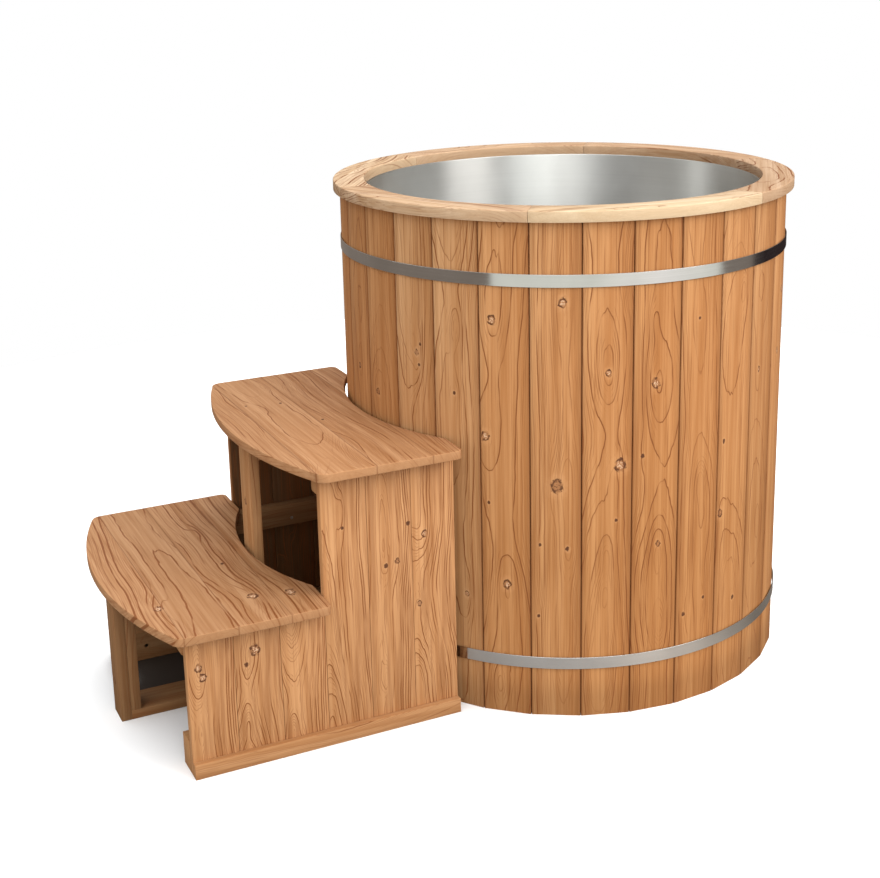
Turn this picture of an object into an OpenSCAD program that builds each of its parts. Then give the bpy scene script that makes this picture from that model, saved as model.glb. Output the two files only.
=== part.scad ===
/* [Tub shell] */
// Height from the ground to the top of the rim
tub_h = 1050; // [900:1:1200]
// Distance from the tub's axis to the flat outer face of a stave
stave_out = 482; // [460:1:520]
// Thickness of a stave
stave_t = 48; // [42:1:54]
// Staves in each of the six sets under the six rim boards
staves_per_set = 5; // [4:1:6]
// Angle of the first joint between two sets, seen from above
seam_angle = 52.8; // [40:0.1:65]
// Gap at the joint between two staves
stave_gap = 0.2; // [0.1:0.05:0.5]
// Bevel along the outer edges of a stave
stave_bevel = 1.2; // [0.5:0.1:2.5]

/* [Rim] */
// Thickness of the rim boards
rim_t = 22; // [18:1:30]
// How far the rim stands out past the staves
rim_overhang = 16; // [8:1:30]
// Width of the rim boards
rim_w = 67; // [60:1:80]
// Rounding of the rim's edges
rim_round = 4; // [2:0.5:6]
// Gap at the joint between two rim boards
rim_gap = 0.3; // [0.1:0.1:1]
// Diameter of the dowels that hold the rim on the staves
dowel_d = 8; // [6:1:8]
// Length of a rim dowel
dowel_l = 32; // [24:1:36]

/* [Hoops] */
// Width of a hoop
hoop_w = 25; // [20:1:30]
// Thickness of a hoop
hoop_t = 1.5; // [1:0.1:2]
// How far the upper hoop's lower edge lies below the top of the rim
upper_hoop_z = 149; // [120:1:350]
// Height of the lower hoop's lower edge above the ground
lower_hoop_z = 106; // [100:1:112]
// Gap between the two ends of a hoop
hoop_mouth = 12; // [8:1:16]
// How far the hoop's lugs stand out
lug_reach = 24; // [20:1:28]
// Thickness of a hoop lug
lug_t = 2.5; // [2:0.1:3]
// Thread diameter of the hoop bolts
hoop_bolt_d = 6; // [5:1:6]
// Length of a hoop bolt's shank
hoop_bolt_l = 40; // [36:1:50]

/* [Floor and liner] */
// Height of the bearers under the floor
bearer_h = 98; // [70:1:98]
// Width of a bearer
bearer_w = 70; // [50:1:90]
// Distance between the centres of two bearers
bearer_pitch = 260; // [220:1:280]
// Thickness of the floor boards
floor_t = 38; // [30:1:38]
// Depth of the groove in the staves that holds the floor
groove_d = 10; // [6:1:14]
// Thickness of the liner's sheet
liner_t = 1.5; // [1:0.1:2]
// Inside radius of the liner's wall
liner_r = 429; // [424:1:429]
// Radius of the bend between the liner's wall and floor
liner_foot_r = 15; // [8:1:20]
// Radius of the bend between the liner's wall and flange
liner_lip_r = 5; // [4:0.5:6]
// Width of the liner's flange on the stave tops
liner_flange_w = 32; // [20:1:32]

/* [Drain] */
// Height of the drain's axis above the ground
drain_z = 182; // [181:1:200]
// Bore of the drain and the valve
drain_bore = 25; // [20:1:25]
// Outside diameter of the drain fitting's threaded tube
drain_tube_d = 33; // [31:1:34]
// Diameter of the drain fitting's flange
drain_flange_d = 56; // [50:1:56]
// Thickness of the drain fitting's flange
drain_flange_t = 3; // [2:0.5:4]
// Width across flats of the locknut
locknut_af = 46; // [42:1:50]
// Thickness of the locknut
locknut_t = 12; // [8:1:14]
// Outside diameter of the valve's chamber
valve_d = 50; // [48:1:56]
// Length of the valve's chamber
valve_l = 52; // [50:1:60]
// Radius of the valve's ball
ball_r = 18; // [17:0.5:19]
// Diameter of the valve's stem
stem_d = 10; // [8:1:10]
// Length of the lever from the stem to its tip
lever_l = 105; // [80:1:130]
// Width of the lever
lever_w = 16; // [16:1:20]
// Thickness of the lever
lever_t = 3; // [2:0.5:4]

/* [Steps] */
// Height of the lower tread's top
low_top = 315; // [280:1:330]
// Height of the upper tread's top
high_top = 582; // [520:1:640]
// Thickness of the treads
tread_t = 18; // [16:1:24]
// Width of the treads
tread_w = 686; // [660:1:720]
// Radius of the treads' curved front edge
tread_front_r = 865; // [780:1:1000]
// Rounding of the treads' corners
tread_corner_r = 20; // [8:1:24]
// Distance from the tub's axis to the upper tread's front
high_front = 782; // [770:1:800]
// Gap between the tub's staves and the upper tread
tub_gap = 9; // [6:1:12]
// Distance from the tub's axis to the lower tread's front
low_front = 1075; // [1060:1:1100]
// Distance from the tub's axis to the lower tread's hollow edge
low_back = 759; // [757:1:762]
// Distance from the tub's axis to the back of the side panels
panel_back = 416; // [412:1:420]
// Distance from the tub's axis to the front of the tall panel boards
high_panel_front = 700; // [690:1:705]
// Distance from the tub's axis to the front of the short panel boards
low_panel_front = 980; // [960:1:990]
// Distance between the outer faces of the two side panels
panel_w = 590; // [560:1:620]
// Thickness of the panel boards
board_t = 18; // [15:1:22]
// Gap between two panel boards
board_gap = 0.5; // [0.3:0.1:2]
// Thickness of the skirting outside each panel
skirt_t = 14; // [10:1:18]
// Height of the skirting
skirt_h = 31; // [25:1:45]
// Width of the bottom rails inside the panels
foot_rail_w = 45; // [30:1:45]
// Height of the bottom rails inside the panels
foot_rail_h = 67; // [45:1:80]
// Width of the tread rails inside the panels
tread_rail_w = 28; // [20:1:35]
// Height of the tread rails inside the panels
tread_rail_h = 50; // [35:1:55]
// Rounding of the tread rails' front ends
rail_round = 10; // [4:1:14]
// Distance from the tub's axis to the back of the inside rails
rail_back = 445; // [440:1:460]

/* [Middle frame] */
// Sideways place of the middle frame's left face
mid_left = -20; // [-40:1:-10]
// Width of the front leg
leg_w = 60; // [40:1:70]
// Thickness of the legs
leg_t = 21; // [18:1:24]
// Width of the tall legs
tall_leg_w = 66; // [50:1:70]
// Distance from the tub's axis to the front of the front leg
leg_front = 1052; // [1040:1:1054]
// Distance from the tub's axis to the front of the tall leg
tall_leg_front = 750; // [745:1:752]
// Distance from the tub's axis to the back of the rear leg
rear_leg_back = 505; // [502:1:515]
// Width of the flat bottom rail
mid_rail_w = 80; // [60:1:90]
// Height of the flat bottom rail
mid_rail_h = 20; // [18:1:30]

/* [Hidden] */
$fn = 72;

set_n = 6;
floor_n = 5;
bearer_n = 3;
boards_n = 3;
// Clearance of one piece in another
fit = 0.1;
// Gap where a round rubber face meets the liner
wall_gap = 0.02;
// How far a cut runs past the face that it opens
over = 1;

set_span = 360 / set_n;
pitch = set_span / staves_per_set;
half_pitch = pitch / 2;
stave_in = stave_out - stave_t;
rim_bottom = tub_h - rim_t;
stave_top = rim_bottom - liner_t;
rim_out = stave_out + rim_overhang;
rim_in = rim_out - rim_w;

drain_angle = seam_angle + (floor(staves_per_set / 2) + 1.5) * pitch;
lug_angle = seam_angle + half_pitch;
dowel_inset = 10;
dowel_up = 14;
dowel_r = stave_out - dowel_inset;
dowel_drop = dowel_l - dowel_up;
dowel_slots = [1, staves_per_set - 2];

floor_z = bearer_h;
groove_play = 1;
floor_r = stave_in + groove_d - groove_play;
bearer_play = 4;
liner_z = floor_z + floor_t;

hoop_in = stave_out + fit;
hoop_heights = [tub_h - upper_hoop_z, lower_hoop_z];
lug_x = stave_out + lug_reach * 0.6;
nut_af = hoop_bolt_d * 5 / 3;
nut_t = hoop_bolt_d * 0.85;

// Places along the drain's axis, measured from the tub's axis
gasket_t = 3;
seat_x = liner_r - gasket_t;
washer_t = 2;
washer_rim = 4;
hole_play = 1;
tube_stub = 22;
socket_gap = 4;
socket_end = 2;
socket_wall = 4.5;
locknut_x = stave_out + washer_t;
tube_end = locknut_x + locknut_t + tube_stub;
socket_x = locknut_x + locknut_t + socket_gap;
chamber_x = tube_end + socket_end;
ball_x = chamber_x + valve_l / 2;
ball_play = 0.3;
end_thread_l = 8;
end_wall = 4;
end_x = chamber_x + valve_l - end_thread_l;
end_thread_d = valve_d - 2 * end_wall;
end_hex_af = valve_d - 6;
end_hex_t = 8;
outlet_x = chamber_x + valve_l;
outlet_l = 24;

// Heights above the drain's axis
neck_h = 12;
neck_wall = 6;
lever_lift = 3;
neck_top = valve_d / 2 + neck_h;
lever_z = neck_top + lever_lift;
stem_flat = stem_d * 0.7;
stem_slot = 4;
stem_neck_z = ball_r + 0.3;
lever_nut_af = 14;
lever_nut_t = 6;
stem_tip = 3;
stem_top = lever_z + lever_t + lever_nut_t + stem_tip;
sleeve_t = 2.5;
sleeve_l = lever_l * 0.6;

panel_half = panel_w / 2;
rail_nose = 5;
high_rail_front = high_panel_front - board_gap;
low_rail_front = low_panel_front + rail_nose;
low_rail_z = low_top - tread_t - tread_rail_h;
high_rail_z = high_top - tread_t - tread_rail_h;
tread_cut = panel_back;
low_cut = high_panel_front;
tall_x0 = -tall_leg_front;
stile_x0 = -leg_front + leg_t;
rear_x1 = -rear_leg_back;
leg_play = 1;

screw_d = 4;
screw_head_d = 8;
screw_head_t = 2.5;
screw_in = 12;

// Plan points of the screws under the treads, two to a rail
screw_end = 60;
mid_screw_end = 55;
side_screw_y = panel_half - board_t - tread_rail_w / 2;
mid_screw_y = mid_left + tread_rail_w / 2;
low_screws = [
    [-low_panel_front + screw_end, side_screw_y],
    [-high_panel_front - screw_end, side_screw_y]
];
high_screws = [
    [-high_panel_front + screw_end, side_screw_y],
    [-rail_back - screw_end, side_screw_y]
];
low_mid_screws = [
    [stile_x0 + leg_t + mid_screw_end, mid_screw_y],
    [tall_x0 - mid_screw_end, mid_screw_y]
];
high_mid_screws = [
    [tall_x0 + leg_t + mid_screw_end, mid_screw_y],
    [rear_x1 - leg_t - mid_screw_end, mid_screw_y]
];

wood = "#c98f5e";
pale_wood = "#ecc9a2";
steel = "#b4b6b4";
brass = "#b99a4f";
rubber = "#2b2b2b";
sleeve_red = "#a3312b";

// Regular outline whose flats face the staves
module stave_ring(apothem) {
    n = set_n * staves_per_set;
    r = apothem / cos(half_pitch);
    polygon([for (k = [0:n - 1]) let (a = seam_angle + k * pitch) [r * cos(a), r * sin(a)]]);
}

// Cylinder lying along X, from x0 to x1
module bar_x(d, x0, x1) {
    translate([x0, 0, 0]) rotate([0, 90, 0]) cylinder(d = d, h = x1 - x0);
}

// Cylinder lying along Y, from y0 to y1
module bar_y(d, y0, y1) {
    translate([0, y0, 0]) rotate([-90, 0, 0]) cylinder(d = d, h = y1 - y0);
}

// Hexagonal bar by its width across flats
module hex_bar(af, h) {
    cylinder(d = af / cos(30), h = h, $fn = 6);
}

// Box from corner a to corner b
module box(a, b) {
    translate(a) cube(b - a);
}

// Stands things at the drain's height, X pointing out of the tub
module at_drain() {
    rotate([0, 0, drain_angle]) translate([0, 0, drain_z]) children();
}

// One stave, its outer face square to X
module stave() {
    ho = stave_out * tan(half_pitch) - stave_gap / 2;
    hi = stave_in * tan(half_pitch) - stave_gap / 2;
    hb = ho - stave_bevel * tan(half_pitch);
    difference() {
        linear_extrude(stave_top)
            polygon([
                [stave_in, -hi], [stave_out - stave_bevel, -hb], [stave_out, stave_bevel - ho],
                [stave_out, ho - stave_bevel], [stave_out - stave_bevel, hb], [stave_in, hi]
            ]);
        box([stave_in - over, -ho, floor_z - fit], [stave_in + groove_d, ho, floor_z + floor_t + fit]);
    }
}

module dowel_places(i) {
    for (k = dowel_slots)
        rotate([0, 0, seam_angle + i * set_span + (k + 0.5) * pitch])
            translate([dowel_r, 0, rim_bottom - dowel_drop]) children();
}

module stave_set(i) {
    color(wood)
        difference() {
            for (k = [0:staves_per_set - 1])
                rotate([0, 0, seam_angle + i * set_span + (k + 0.5) * pitch]) stave();
            dowel_places(i) cylinder(d = dowel_d + fit, h = dowel_l + fit);
            at_drain() bar_x(drain_tube_d + hole_play, stave_in - over, stave_out + over);
        }
}

module rim_board(i) {
    c = rim_round;
    s = c * 0.3;
    trim = rim_gap / 2 / rim_in * 180 / PI;
    color(pale_wood)
        difference() {
            rotate([0, 0, seam_angle + i * set_span + trim])
                rotate_extrude(angle = set_span - 2 * trim, $fn = 360)
                    polygon([
                        [rim_in + s, rim_bottom], [rim_out - s, rim_bottom],
                        [rim_out, rim_bottom + s], [rim_out, tub_h - c],
                        [rim_out - s, tub_h - s], [rim_out - c, tub_h],
                        [rim_in + c, tub_h], [rim_in + s, tub_h - s],
                        [rim_in, tub_h - c], [rim_in, rim_bottom + s]
                    ]);
            dowel_places(i) cylinder(d = dowel_d + fit, h = dowel_l + fit);
        }
}

module rim_dowels() {
    color(wood)
        for (i = [0:set_n - 1])
            dowel_places(i) cylinder(d = dowel_d, h = dowel_l);
}

// A band bent to the staves, its two ends turned out as lugs
module hoop(z) {
    color(steel)
        translate([0, 0, z])
            difference() {
                linear_extrude(hoop_w)
                    rotate(lug_angle)
                        difference() {
                            union() {
                                rotate(-lug_angle) stave_ring(hoop_in + hoop_t);
                                translate([stave_out, -hoop_mouth / 2 - lug_t])
                                    square([lug_reach, hoop_mouth + 2 * lug_t]);
                            }
                            rotate(-lug_angle) stave_ring(hoop_in);
                            translate([stave_out - over, -hoop_mouth / 2])
                                square([lug_reach + 2 * over, hoop_mouth]);
                        }
                rotate([0, 0, lug_angle])
                    translate([lug_x, 0, hoop_w / 2])
                        bar_y(hoop_bolt_d + 2 * fit, -hoop_mouth, hoop_mouth);
            }
}

// Stands things at each hoop's bolt, Y along the bolt
module at_hoop_bolts() {
    for (z = hoop_heights)
        rotate([0, 0, lug_angle]) translate([lug_x, 0, z + hoop_w / 2]) children();
}

module hoop_bolts() {
    head_y = -hoop_mouth / 2 - lug_t;
    color(steel)
        at_hoop_bolts() {
            bar_y(hoop_bolt_d, head_y, head_y + hoop_bolt_l);
            translate([0, head_y, 0]) rotate([90, 0, 0]) hex_bar(nut_af, nut_t);
        }
}

module hoop_nuts() {
    nut_y = hoop_mouth / 2 + lug_t;
    color(steel)
        at_hoop_bolts()
            difference() {
                translate([0, nut_y, 0]) rotate([-90, 0, 0]) hex_bar(nut_af, nut_t);
                bar_y(hoop_bolt_d + fit, nut_y - over, nut_y + nut_t + over);
            }
}

module floor_board(i) {
    w = 2 * floor_r / floor_n;
    color(wood)
        translate([0, 0, floor_z])
            linear_extrude(floor_t)
                intersection() {
                    stave_ring(floor_r);
                    translate([-floor_r + i * w + stave_gap, -2 * floor_r])
                        square([w - 2 * stave_gap, 4 * floor_r]);
                }
}

module bearer(i) {
    y = (i - (bearer_n - 1) / 2) * bearer_pitch;
    far = abs(y) + bearer_w / 2;
    half = sqrt(pow(stave_in - bearer_play, 2) - far * far);
    color(wood) box([-half, y - bearer_w / 2, 0], [half, y + bearer_w / 2, bearer_h]);
}

module liner() {
    t = liner_t;
    ro = liner_r + t;
    top = rim_bottom;
    lip = liner_lip_r;
    foot = liner_foot_r;
    bend = [0:15:90];
    lip_c = [liner_r + lip, top - lip];
    foot_c = [ro - foot, liner_z + foot];
    color(steel)
        difference() {
            rotate_extrude($fn = 360)
                polygon(concat(
                    [[0, liner_z]],
                    [for (a = bend) foot_c + foot * [sin(a), -cos(a)]],
                    [for (a = bend) lip_c + (lip - t) * [-cos(a), sin(a)]],
                    [[lip_c[0] + liner_flange_w, top - t], [lip_c[0] + liner_flange_w, top]],
                    [for (a = bend) lip_c + lip * [-sin(a), cos(a)]],
                    [for (a = bend) foot_c + (foot - t) * [cos(a), -sin(a)]],
                    [[0, liner_z + t]]
                ));
            at_drain() bar_x(drain_tube_d + hole_play, seat_x - over, ro + over);
        }
}

module drain_fitting() {
    color(brass)
        at_drain()
            difference() {
                union() {
                    bar_x(drain_flange_d, seat_x - drain_flange_t, seat_x);
                    bar_x(drain_tube_d, seat_x - drain_flange_t, tube_end);
                }
                bar_x(drain_bore, seat_x - drain_flange_t - over, tube_end + over);
            }
}

module drain_gasket() {
    color(rubber)
        intersection() {
            at_drain()
                difference() {
                    bar_x(drain_flange_d - 2, seat_x, liner_r + over);
                    bar_x(drain_tube_d + fit, seat_x - over, liner_r + 2 * over);
                }
            cylinder(r = liner_r - wall_gap, h = tub_h, $fn = 720);
        }
}

module drain_washer() {
    color(rubber)
        at_drain()
            difference() {
                bar_x(locknut_af + 2 * washer_rim, stave_out, locknut_x);
                bar_x(drain_tube_d + fit, stave_out - over, locknut_x + over);
            }
}

module drain_locknut() {
    color(brass)
        at_drain()
            difference() {
                translate([locknut_x, 0, 0]) rotate([0, 90, 0]) hex_bar(locknut_af, locknut_t);
                bar_x(drain_tube_d + fit, locknut_x - over, locknut_x + locknut_t + over);
            }
}

module valve_body() {
    color(brass)
        at_drain()
            difference() {
                union() {
                    bar_x(drain_tube_d + 2 * socket_wall, socket_x, chamber_x + over);
                    bar_x(valve_d, chamber_x, outlet_x);
                    translate([ball_x, 0, 0]) cylinder(d = stem_d + 2 * neck_wall, h = neck_top);
                }
                bar_x(drain_tube_d + fit, socket_x - over, tube_end + fit);
                bar_x(drain_bore, socket_x, ball_x);
                translate([ball_x, 0, 0]) sphere(r = ball_r + ball_play);
                bar_x(2 * (ball_r + ball_play), ball_x, outlet_x + over);
                bar_x(end_thread_d, end_x, outlet_x + over);
                translate([ball_x, 0, 0]) cylinder(d = stem_d + fit, h = neck_top + over);
            }
}

module valve_end() {
    seat = ball_x + ball_r * 0.85;
    color(brass)
        at_drain()
            difference() {
                union() {
                    bar_x(end_thread_d - fit, end_x + fit, outlet_x + over);
                    bar_x(2 * ball_r, seat, end_x + over);
                    translate([outlet_x + fit, 0, 0]) rotate([0, 90, 0]) hex_bar(end_hex_af, end_hex_t);
                    bar_x(drain_tube_d, outlet_x + over, outlet_x + outlet_l);
                }
                bar_x(drain_bore, seat - over, outlet_x + outlet_l + over);
                translate([ball_x, 0, 0]) sphere(r = ball_r + ball_play);
            }
}

// Placed so that X runs along the pipe and the ball is at the origin
module at_ball() {
    at_drain() translate([ball_x, 0, 0]) children();
}

module valve_ball() {
    color(steel)
        at_ball()
            difference() {
                sphere(r = ball_r);
                bar_y(drain_bore - 1, -ball_r - over, ball_r + over);
                box([-stem_d, -stem_flat / 2 - fit, ball_r - stem_slot],
                    [stem_d, stem_flat / 2 + fit, ball_r + over]);
            }
}

module valve_stem() {
    color(steel)
        at_ball()
            union() {
                intersection() {
                    translate([0, 0, ball_r - stem_slot + 2 * fit])
                        cylinder(d = stem_d, h = stem_slot + over);
                    box([-stem_d, -stem_flat / 2, 0], [stem_d, stem_flat / 2, neck_top]);
                }
                translate([0, 0, stem_neck_z]) cylinder(d = stem_d, h = neck_top + over - stem_neck_z);
                intersection() {
                    cylinder(d = stem_d, h = stem_top);
                    box([-stem_flat / 2, -stem_d, neck_top], [stem_flat / 2, stem_d, stem_top]);
                }
            }
}

// The lever lies across the pipe, which is the shut place
module lever_blank() {
    straight = lever_l - lever_w / 2;
    cylinder(d = lever_w, h = lever_t);
    translate([-lever_w / 2, 0, 0]) cube([lever_w, straight, lever_t]);
    translate([0, straight, 0]) cylinder(d = lever_w, h = lever_t);
}

module valve_lever() {
    color(steel)
        at_ball()
            translate([0, 0, lever_z])
                difference() {
                    lever_blank();
                    intersection() {
                        translate([0, 0, -over]) cylinder(d = stem_d + fit, h = lever_t + 2 * over);
                        box([-stem_flat / 2 - fit, -stem_d, -over],
                            [stem_flat / 2 + fit, stem_d, lever_t + over]);
                    }
                }
}

module lever_sleeve() {
    y0 = lever_l - sleeve_l;
    y1 = lever_l + sleeve_t;
    w = lever_w + 2 * sleeve_t;
    color(sleeve_red)
        at_ball()
            translate([0, 0, lever_z])
                difference() {
                    box([-w / 2, y0, -sleeve_t], [w / 2, y1, lever_t + sleeve_t]);
                    translate([0, 0, -fit / 2])
                        box([-lever_w / 2 - fit, y0 - over, 0],
                            [lever_w / 2 + fit, lever_l + fit, lever_t + fit]);
                }
}

module lever_nut() {
    z = lever_z + lever_t;
    color(steel)
        at_ball()
            difference() {
                translate([0, 0, z]) hex_bar(lever_nut_af, lever_nut_t);
                translate([0, 0, z - over]) cylinder(d = stem_d + fit, h = lever_nut_t + 2 * over);
            }
}

// Plan of a tread: bowed front, hollow tub side, square cut beside the hollow
module tread_plan(front, hollow_r, hollow, cut) {
    h = tread_w / 2;
    r = tread_corner_r;
    cx = tread_front_r - front;
    fx = cx - sqrt(pow(tread_front_r - r, 2) - pow(h - r, 2));
    ta = atan2(h - r, cx - fx);
    tx = cx - tread_front_r * cos(ta);
    ty = tread_front_r * sin(ta);
    difference() {
        union() {
            difference() {
                intersection() {
                    translate([cx, 0]) circle(r = tread_front_r, $fn = 180);
                    translate([-front, -h]) square([front - cut, 2 * h]);
                }
                for (s = [-1, 1]) {
                    polygon([[fx, s * (h - r)], [tx, s * ty], [tx - r, s * (h + 1)], [fx, s * (h + 1)]]);
                    translate([-cut - r, s * (h - r / 2) - r / 2]) square([r + 1, r + s * 0.001]);
                }
            }
            for (s = [-1, 1]) {
                translate([fx, s * (h - r)]) circle(r = r);
                translate([-cut - r, s * (h - r)]) circle(r = r);
            }
        }
        translate([hollow_r - hollow, 0]) circle(r = hollow_r, $fn = 180);
    }
}

// Upright screw from a rail's underside into the tread above it
module tread_screw(extra) {
    cylinder(d = screw_d + extra, h = tread_rail_h + screw_in + extra);
    translate([0, 0, -extra]) cylinder(d = screw_head_d + extra, h = screw_head_t + 1.5 * extra);
}

module at_tread_screws(side, middle, z) {
    for (p = side)
        for (s = [-1, 1])
            translate([p[0], s * p[1], z]) children();
    for (p = middle)
        translate([p[0], p[1], z]) children();
}

// The screws of both treads, or their holes when extra is more than 0
module all_tread_screws(extra) {
    at_tread_screws(low_screws, low_mid_screws, low_rail_z) tread_screw(extra);
    at_tread_screws(high_screws, high_mid_screws, high_rail_z) tread_screw(extra);
}

module tread_screws() {
    color(steel) all_tread_screws(0);
}

// The tall leg stands clear of the hollow edge, or in a notch if it is set further forward
module lower_tread() {
    color(wood)
        difference() {
            translate([0, 0, low_top - tread_t])
                linear_extrude(tread_t)
                    tread_plan(low_front, stave_out + tub_gap, low_back, low_cut);
            box([tall_x0 - leg_play, mid_left - leg_play, 0],
                [tall_x0 + leg_t + leg_play, mid_left + tall_leg_w + leg_play, high_top]);
            all_tread_screws(fit);
        }
}

module upper_tread() {
    hollow = stave_out + tub_gap;
    color(wood)
        difference() {
            translate([0, 0, high_top - tread_t])
                linear_extrude(tread_t)
                    tread_plan(high_front, hollow, hollow, tread_cut);
            all_tread_screws(fit);
        }
}

// Centre of board k of the boards_n boards between front and back
function board_x(front, back, k) = -front + (k + 0.5) * (front - back) / boards_n;

// Sideways screw from a rail's inner face into a panel board
module panel_screw(rail_w, extra) {
    y1 = panel_half - board_t;
    bar_y(screw_d + extra, y1 - rail_w, y1 + screw_in + extra / 2);
    bar_y(screw_head_d + extra, y1 - rail_w - extra, y1 - rail_w + screw_head_t + extra / 2);
}

module panel_screw_row(extra) {
    for (k = [0:boards_n - 1]) {
        xl = board_x(low_panel_front, high_panel_front, k);
        xh = board_x(high_panel_front, rail_back, k);
        for (x = [xl, xh]) {
            translate([x, 0, foot_rail_h / 2]) panel_screw(foot_rail_w, extra);
            translate([x, 0, low_rail_z + tread_rail_h / 3]) panel_screw(tread_rail_w, extra);
        }
        translate([xh, 0, high_rail_z + tread_rail_h / 3]) panel_screw(tread_rail_w, extra);
    }
}

module panel_screws() {
    color(steel) {
        panel_screw_row(0);
        mirror([0, 1, 0]) panel_screw_row(0);
    }
}

// Side 1 is drawn as it is, side -1 is mirrored across the middle
module mirrored(side) {
    mirror([0, side > 0 ? 0 : 1, 0]) children();
}

module panel_boards(side, front, back, top) {
    w = (front - back) / boards_n;
    color(wood)
        mirrored(side)
            difference() {
                for (k = [0:boards_n - 1])
                    box([-front + k * w + board_gap / 2, panel_half - board_t, 0],
                        [-front + (k + 1) * w - board_gap / 2, panel_half, top]);
                panel_screw_row(fit);
            }
}

module skirting(side) {
    color(wood)
        mirrored(side)
            box([-low_panel_front, panel_half, 0], [-panel_back, panel_half + skirt_t, skirt_h]);
}

module foot_rail(side) {
    y1 = panel_half - board_t;
    color(wood)
        mirrored(side)
            difference() {
                box([-low_panel_front, y1 - foot_rail_w, 0], [-rail_back, y1, foot_rail_h]);
                panel_screw_row(fit);
            }
}

// Rail under a tread, its front end rounded below
module tread_rail(side, front, z) {
    y1 = panel_half - board_t;
    r = rail_round;
    color(wood)
        difference() {
            mirrored(side)
                difference() {
                    box([-front, y1 - tread_rail_w, z], [-rail_back, y1, z + tread_rail_h]);
                    difference() {
                        box([-front - over, 0, z - over], [-front + r, y1 + over, z + r]);
                        translate([-front + r, 0, z + r]) bar_y(2 * r, -over, y1 + 2 * over);
                    }
                    panel_screw_row(fit);
                }
            all_tread_screws(fit);
        }
}

module front_leg_facing() {
    color(wood)
        box([-leg_front, mid_left, 0], [stile_x0 - fit, mid_left + leg_w, low_top - tread_t]);
}

module front_leg() {
    color(wood)
        box([stile_x0, mid_left, mid_rail_h], [stile_x0 + leg_t, mid_left + leg_w, low_top - tread_t]);
}

module middle_foot_rail() {
    color(wood)
        box([stile_x0, mid_left, 0], [rear_x1, mid_left + mid_rail_w, mid_rail_h]);
}

module middle_low_rail() {
    color(wood)
        difference() {
            box([stile_x0 + leg_t, mid_left, low_rail_z],
                [tall_x0, mid_left + tread_rail_w, low_top - tread_t]);
            all_tread_screws(fit);
        }
}

module tall_leg() {
    color(wood)
        box([tall_x0, mid_left, mid_rail_h], [tall_x0 + leg_t, mid_left + tall_leg_w, high_top - tread_t]);
}

module middle_high_rail() {
    color(wood)
        difference() {
            box([tall_x0 + leg_t, mid_left, high_rail_z],
                [rear_x1 - leg_t, mid_left + tread_rail_w, high_top - tread_t]);
            all_tread_screws(fit);
        }
}

module rear_leg() {
    color(wood)
        box([rear_x1 - leg_t, mid_left, mid_rail_h], [rear_x1, mid_left + tall_leg_w, high_top - tread_t]);
}

for (i = [0:set_n - 1]) {
    stave_set(i);
    rim_board(i);
}
for (i = [0:floor_n - 1])
    floor_board(i);
for (i = [0:bearer_n - 1])
    bearer(i);
rim_dowels();
hoop(hoop_heights[0]);  // upper_hoop
hoop(hoop_heights[1]);  // lower_hoop
hoop_bolts();
hoop_nuts();
liner();
drain_fitting();
drain_gasket();
drain_washer();
drain_locknut();
valve_body();
valve_end();
valve_ball();
valve_stem();
valve_lever();
lever_sleeve();
lever_nut();
lower_tread();
upper_tread();
panel_boards(-1, low_panel_front, high_panel_front, low_top - tread_t);  // near_boards_low
panel_boards(-1, high_panel_front, panel_back, high_top - tread_t);  // near_boards_high
panel_boards(1, low_panel_front, high_panel_front, low_top - tread_t);  // far_boards_low
panel_boards(1, high_panel_front, panel_back, high_top - tread_t);  // far_boards_high
skirting(-1);  // near_skirting
skirting(1);  // far_skirting
foot_rail(-1);  // near_foot_rail
foot_rail(1);  // far_foot_rail
tread_rail(-1, low_rail_front, low_rail_z);  // near_low_rail
tread_rail(1, low_rail_front, low_rail_z);  // far_low_rail
tread_rail(-1, high_rail_front, high_rail_z);  // near_high_rail
tread_rail(1, high_rail_front, high_rail_z);  // far_high_rail
front_leg_facing();
front_leg();
middle_foot_rail();
middle_low_rail();
tall_leg();
middle_high_rail();
rear_leg();
tread_screws();
panel_screws();
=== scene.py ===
"""Round cold plunge tub with its two-tread step unit: the finish of every piece, and its studio."""

import math
import random

import bmesh
import bpy
from bpy.props import FloatProperty, FloatVectorProperty, IntProperty, PointerProperty
from mathutils import Matrix, Vector


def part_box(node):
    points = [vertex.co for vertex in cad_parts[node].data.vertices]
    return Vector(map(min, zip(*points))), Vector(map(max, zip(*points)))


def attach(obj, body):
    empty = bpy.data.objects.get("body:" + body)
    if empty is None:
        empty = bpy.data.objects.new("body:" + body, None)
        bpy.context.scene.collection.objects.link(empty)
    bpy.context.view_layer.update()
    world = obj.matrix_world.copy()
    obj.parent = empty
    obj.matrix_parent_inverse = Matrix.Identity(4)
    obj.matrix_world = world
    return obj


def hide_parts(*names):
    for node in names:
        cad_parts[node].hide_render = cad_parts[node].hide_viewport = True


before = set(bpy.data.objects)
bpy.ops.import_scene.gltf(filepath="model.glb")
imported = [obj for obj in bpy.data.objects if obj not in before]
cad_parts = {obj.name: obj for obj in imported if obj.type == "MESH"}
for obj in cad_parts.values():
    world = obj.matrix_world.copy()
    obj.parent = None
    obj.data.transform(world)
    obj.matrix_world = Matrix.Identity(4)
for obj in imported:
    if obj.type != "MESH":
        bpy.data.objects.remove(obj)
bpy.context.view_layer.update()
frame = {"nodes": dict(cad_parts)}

bl_info = {
    "name": "Cold plunge tub",
    "version": (1, 0, 0),
    "blender": (4, 5, 0),
    "location": "View3D > Sidebar > Tub",
    "description": "Builds the staves, hoops, liner, drain and steps of a round wooden plunge tub",
    "category": "Object",
}

# The photograph's frame, and the point of it that the lens axis meets
PHOTO_SIZE = (880, 878)
PHOTO_AXIS = (455, 340)
FOCAL_PIXELS = 1479.4
SENSOR = 0.036

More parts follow.
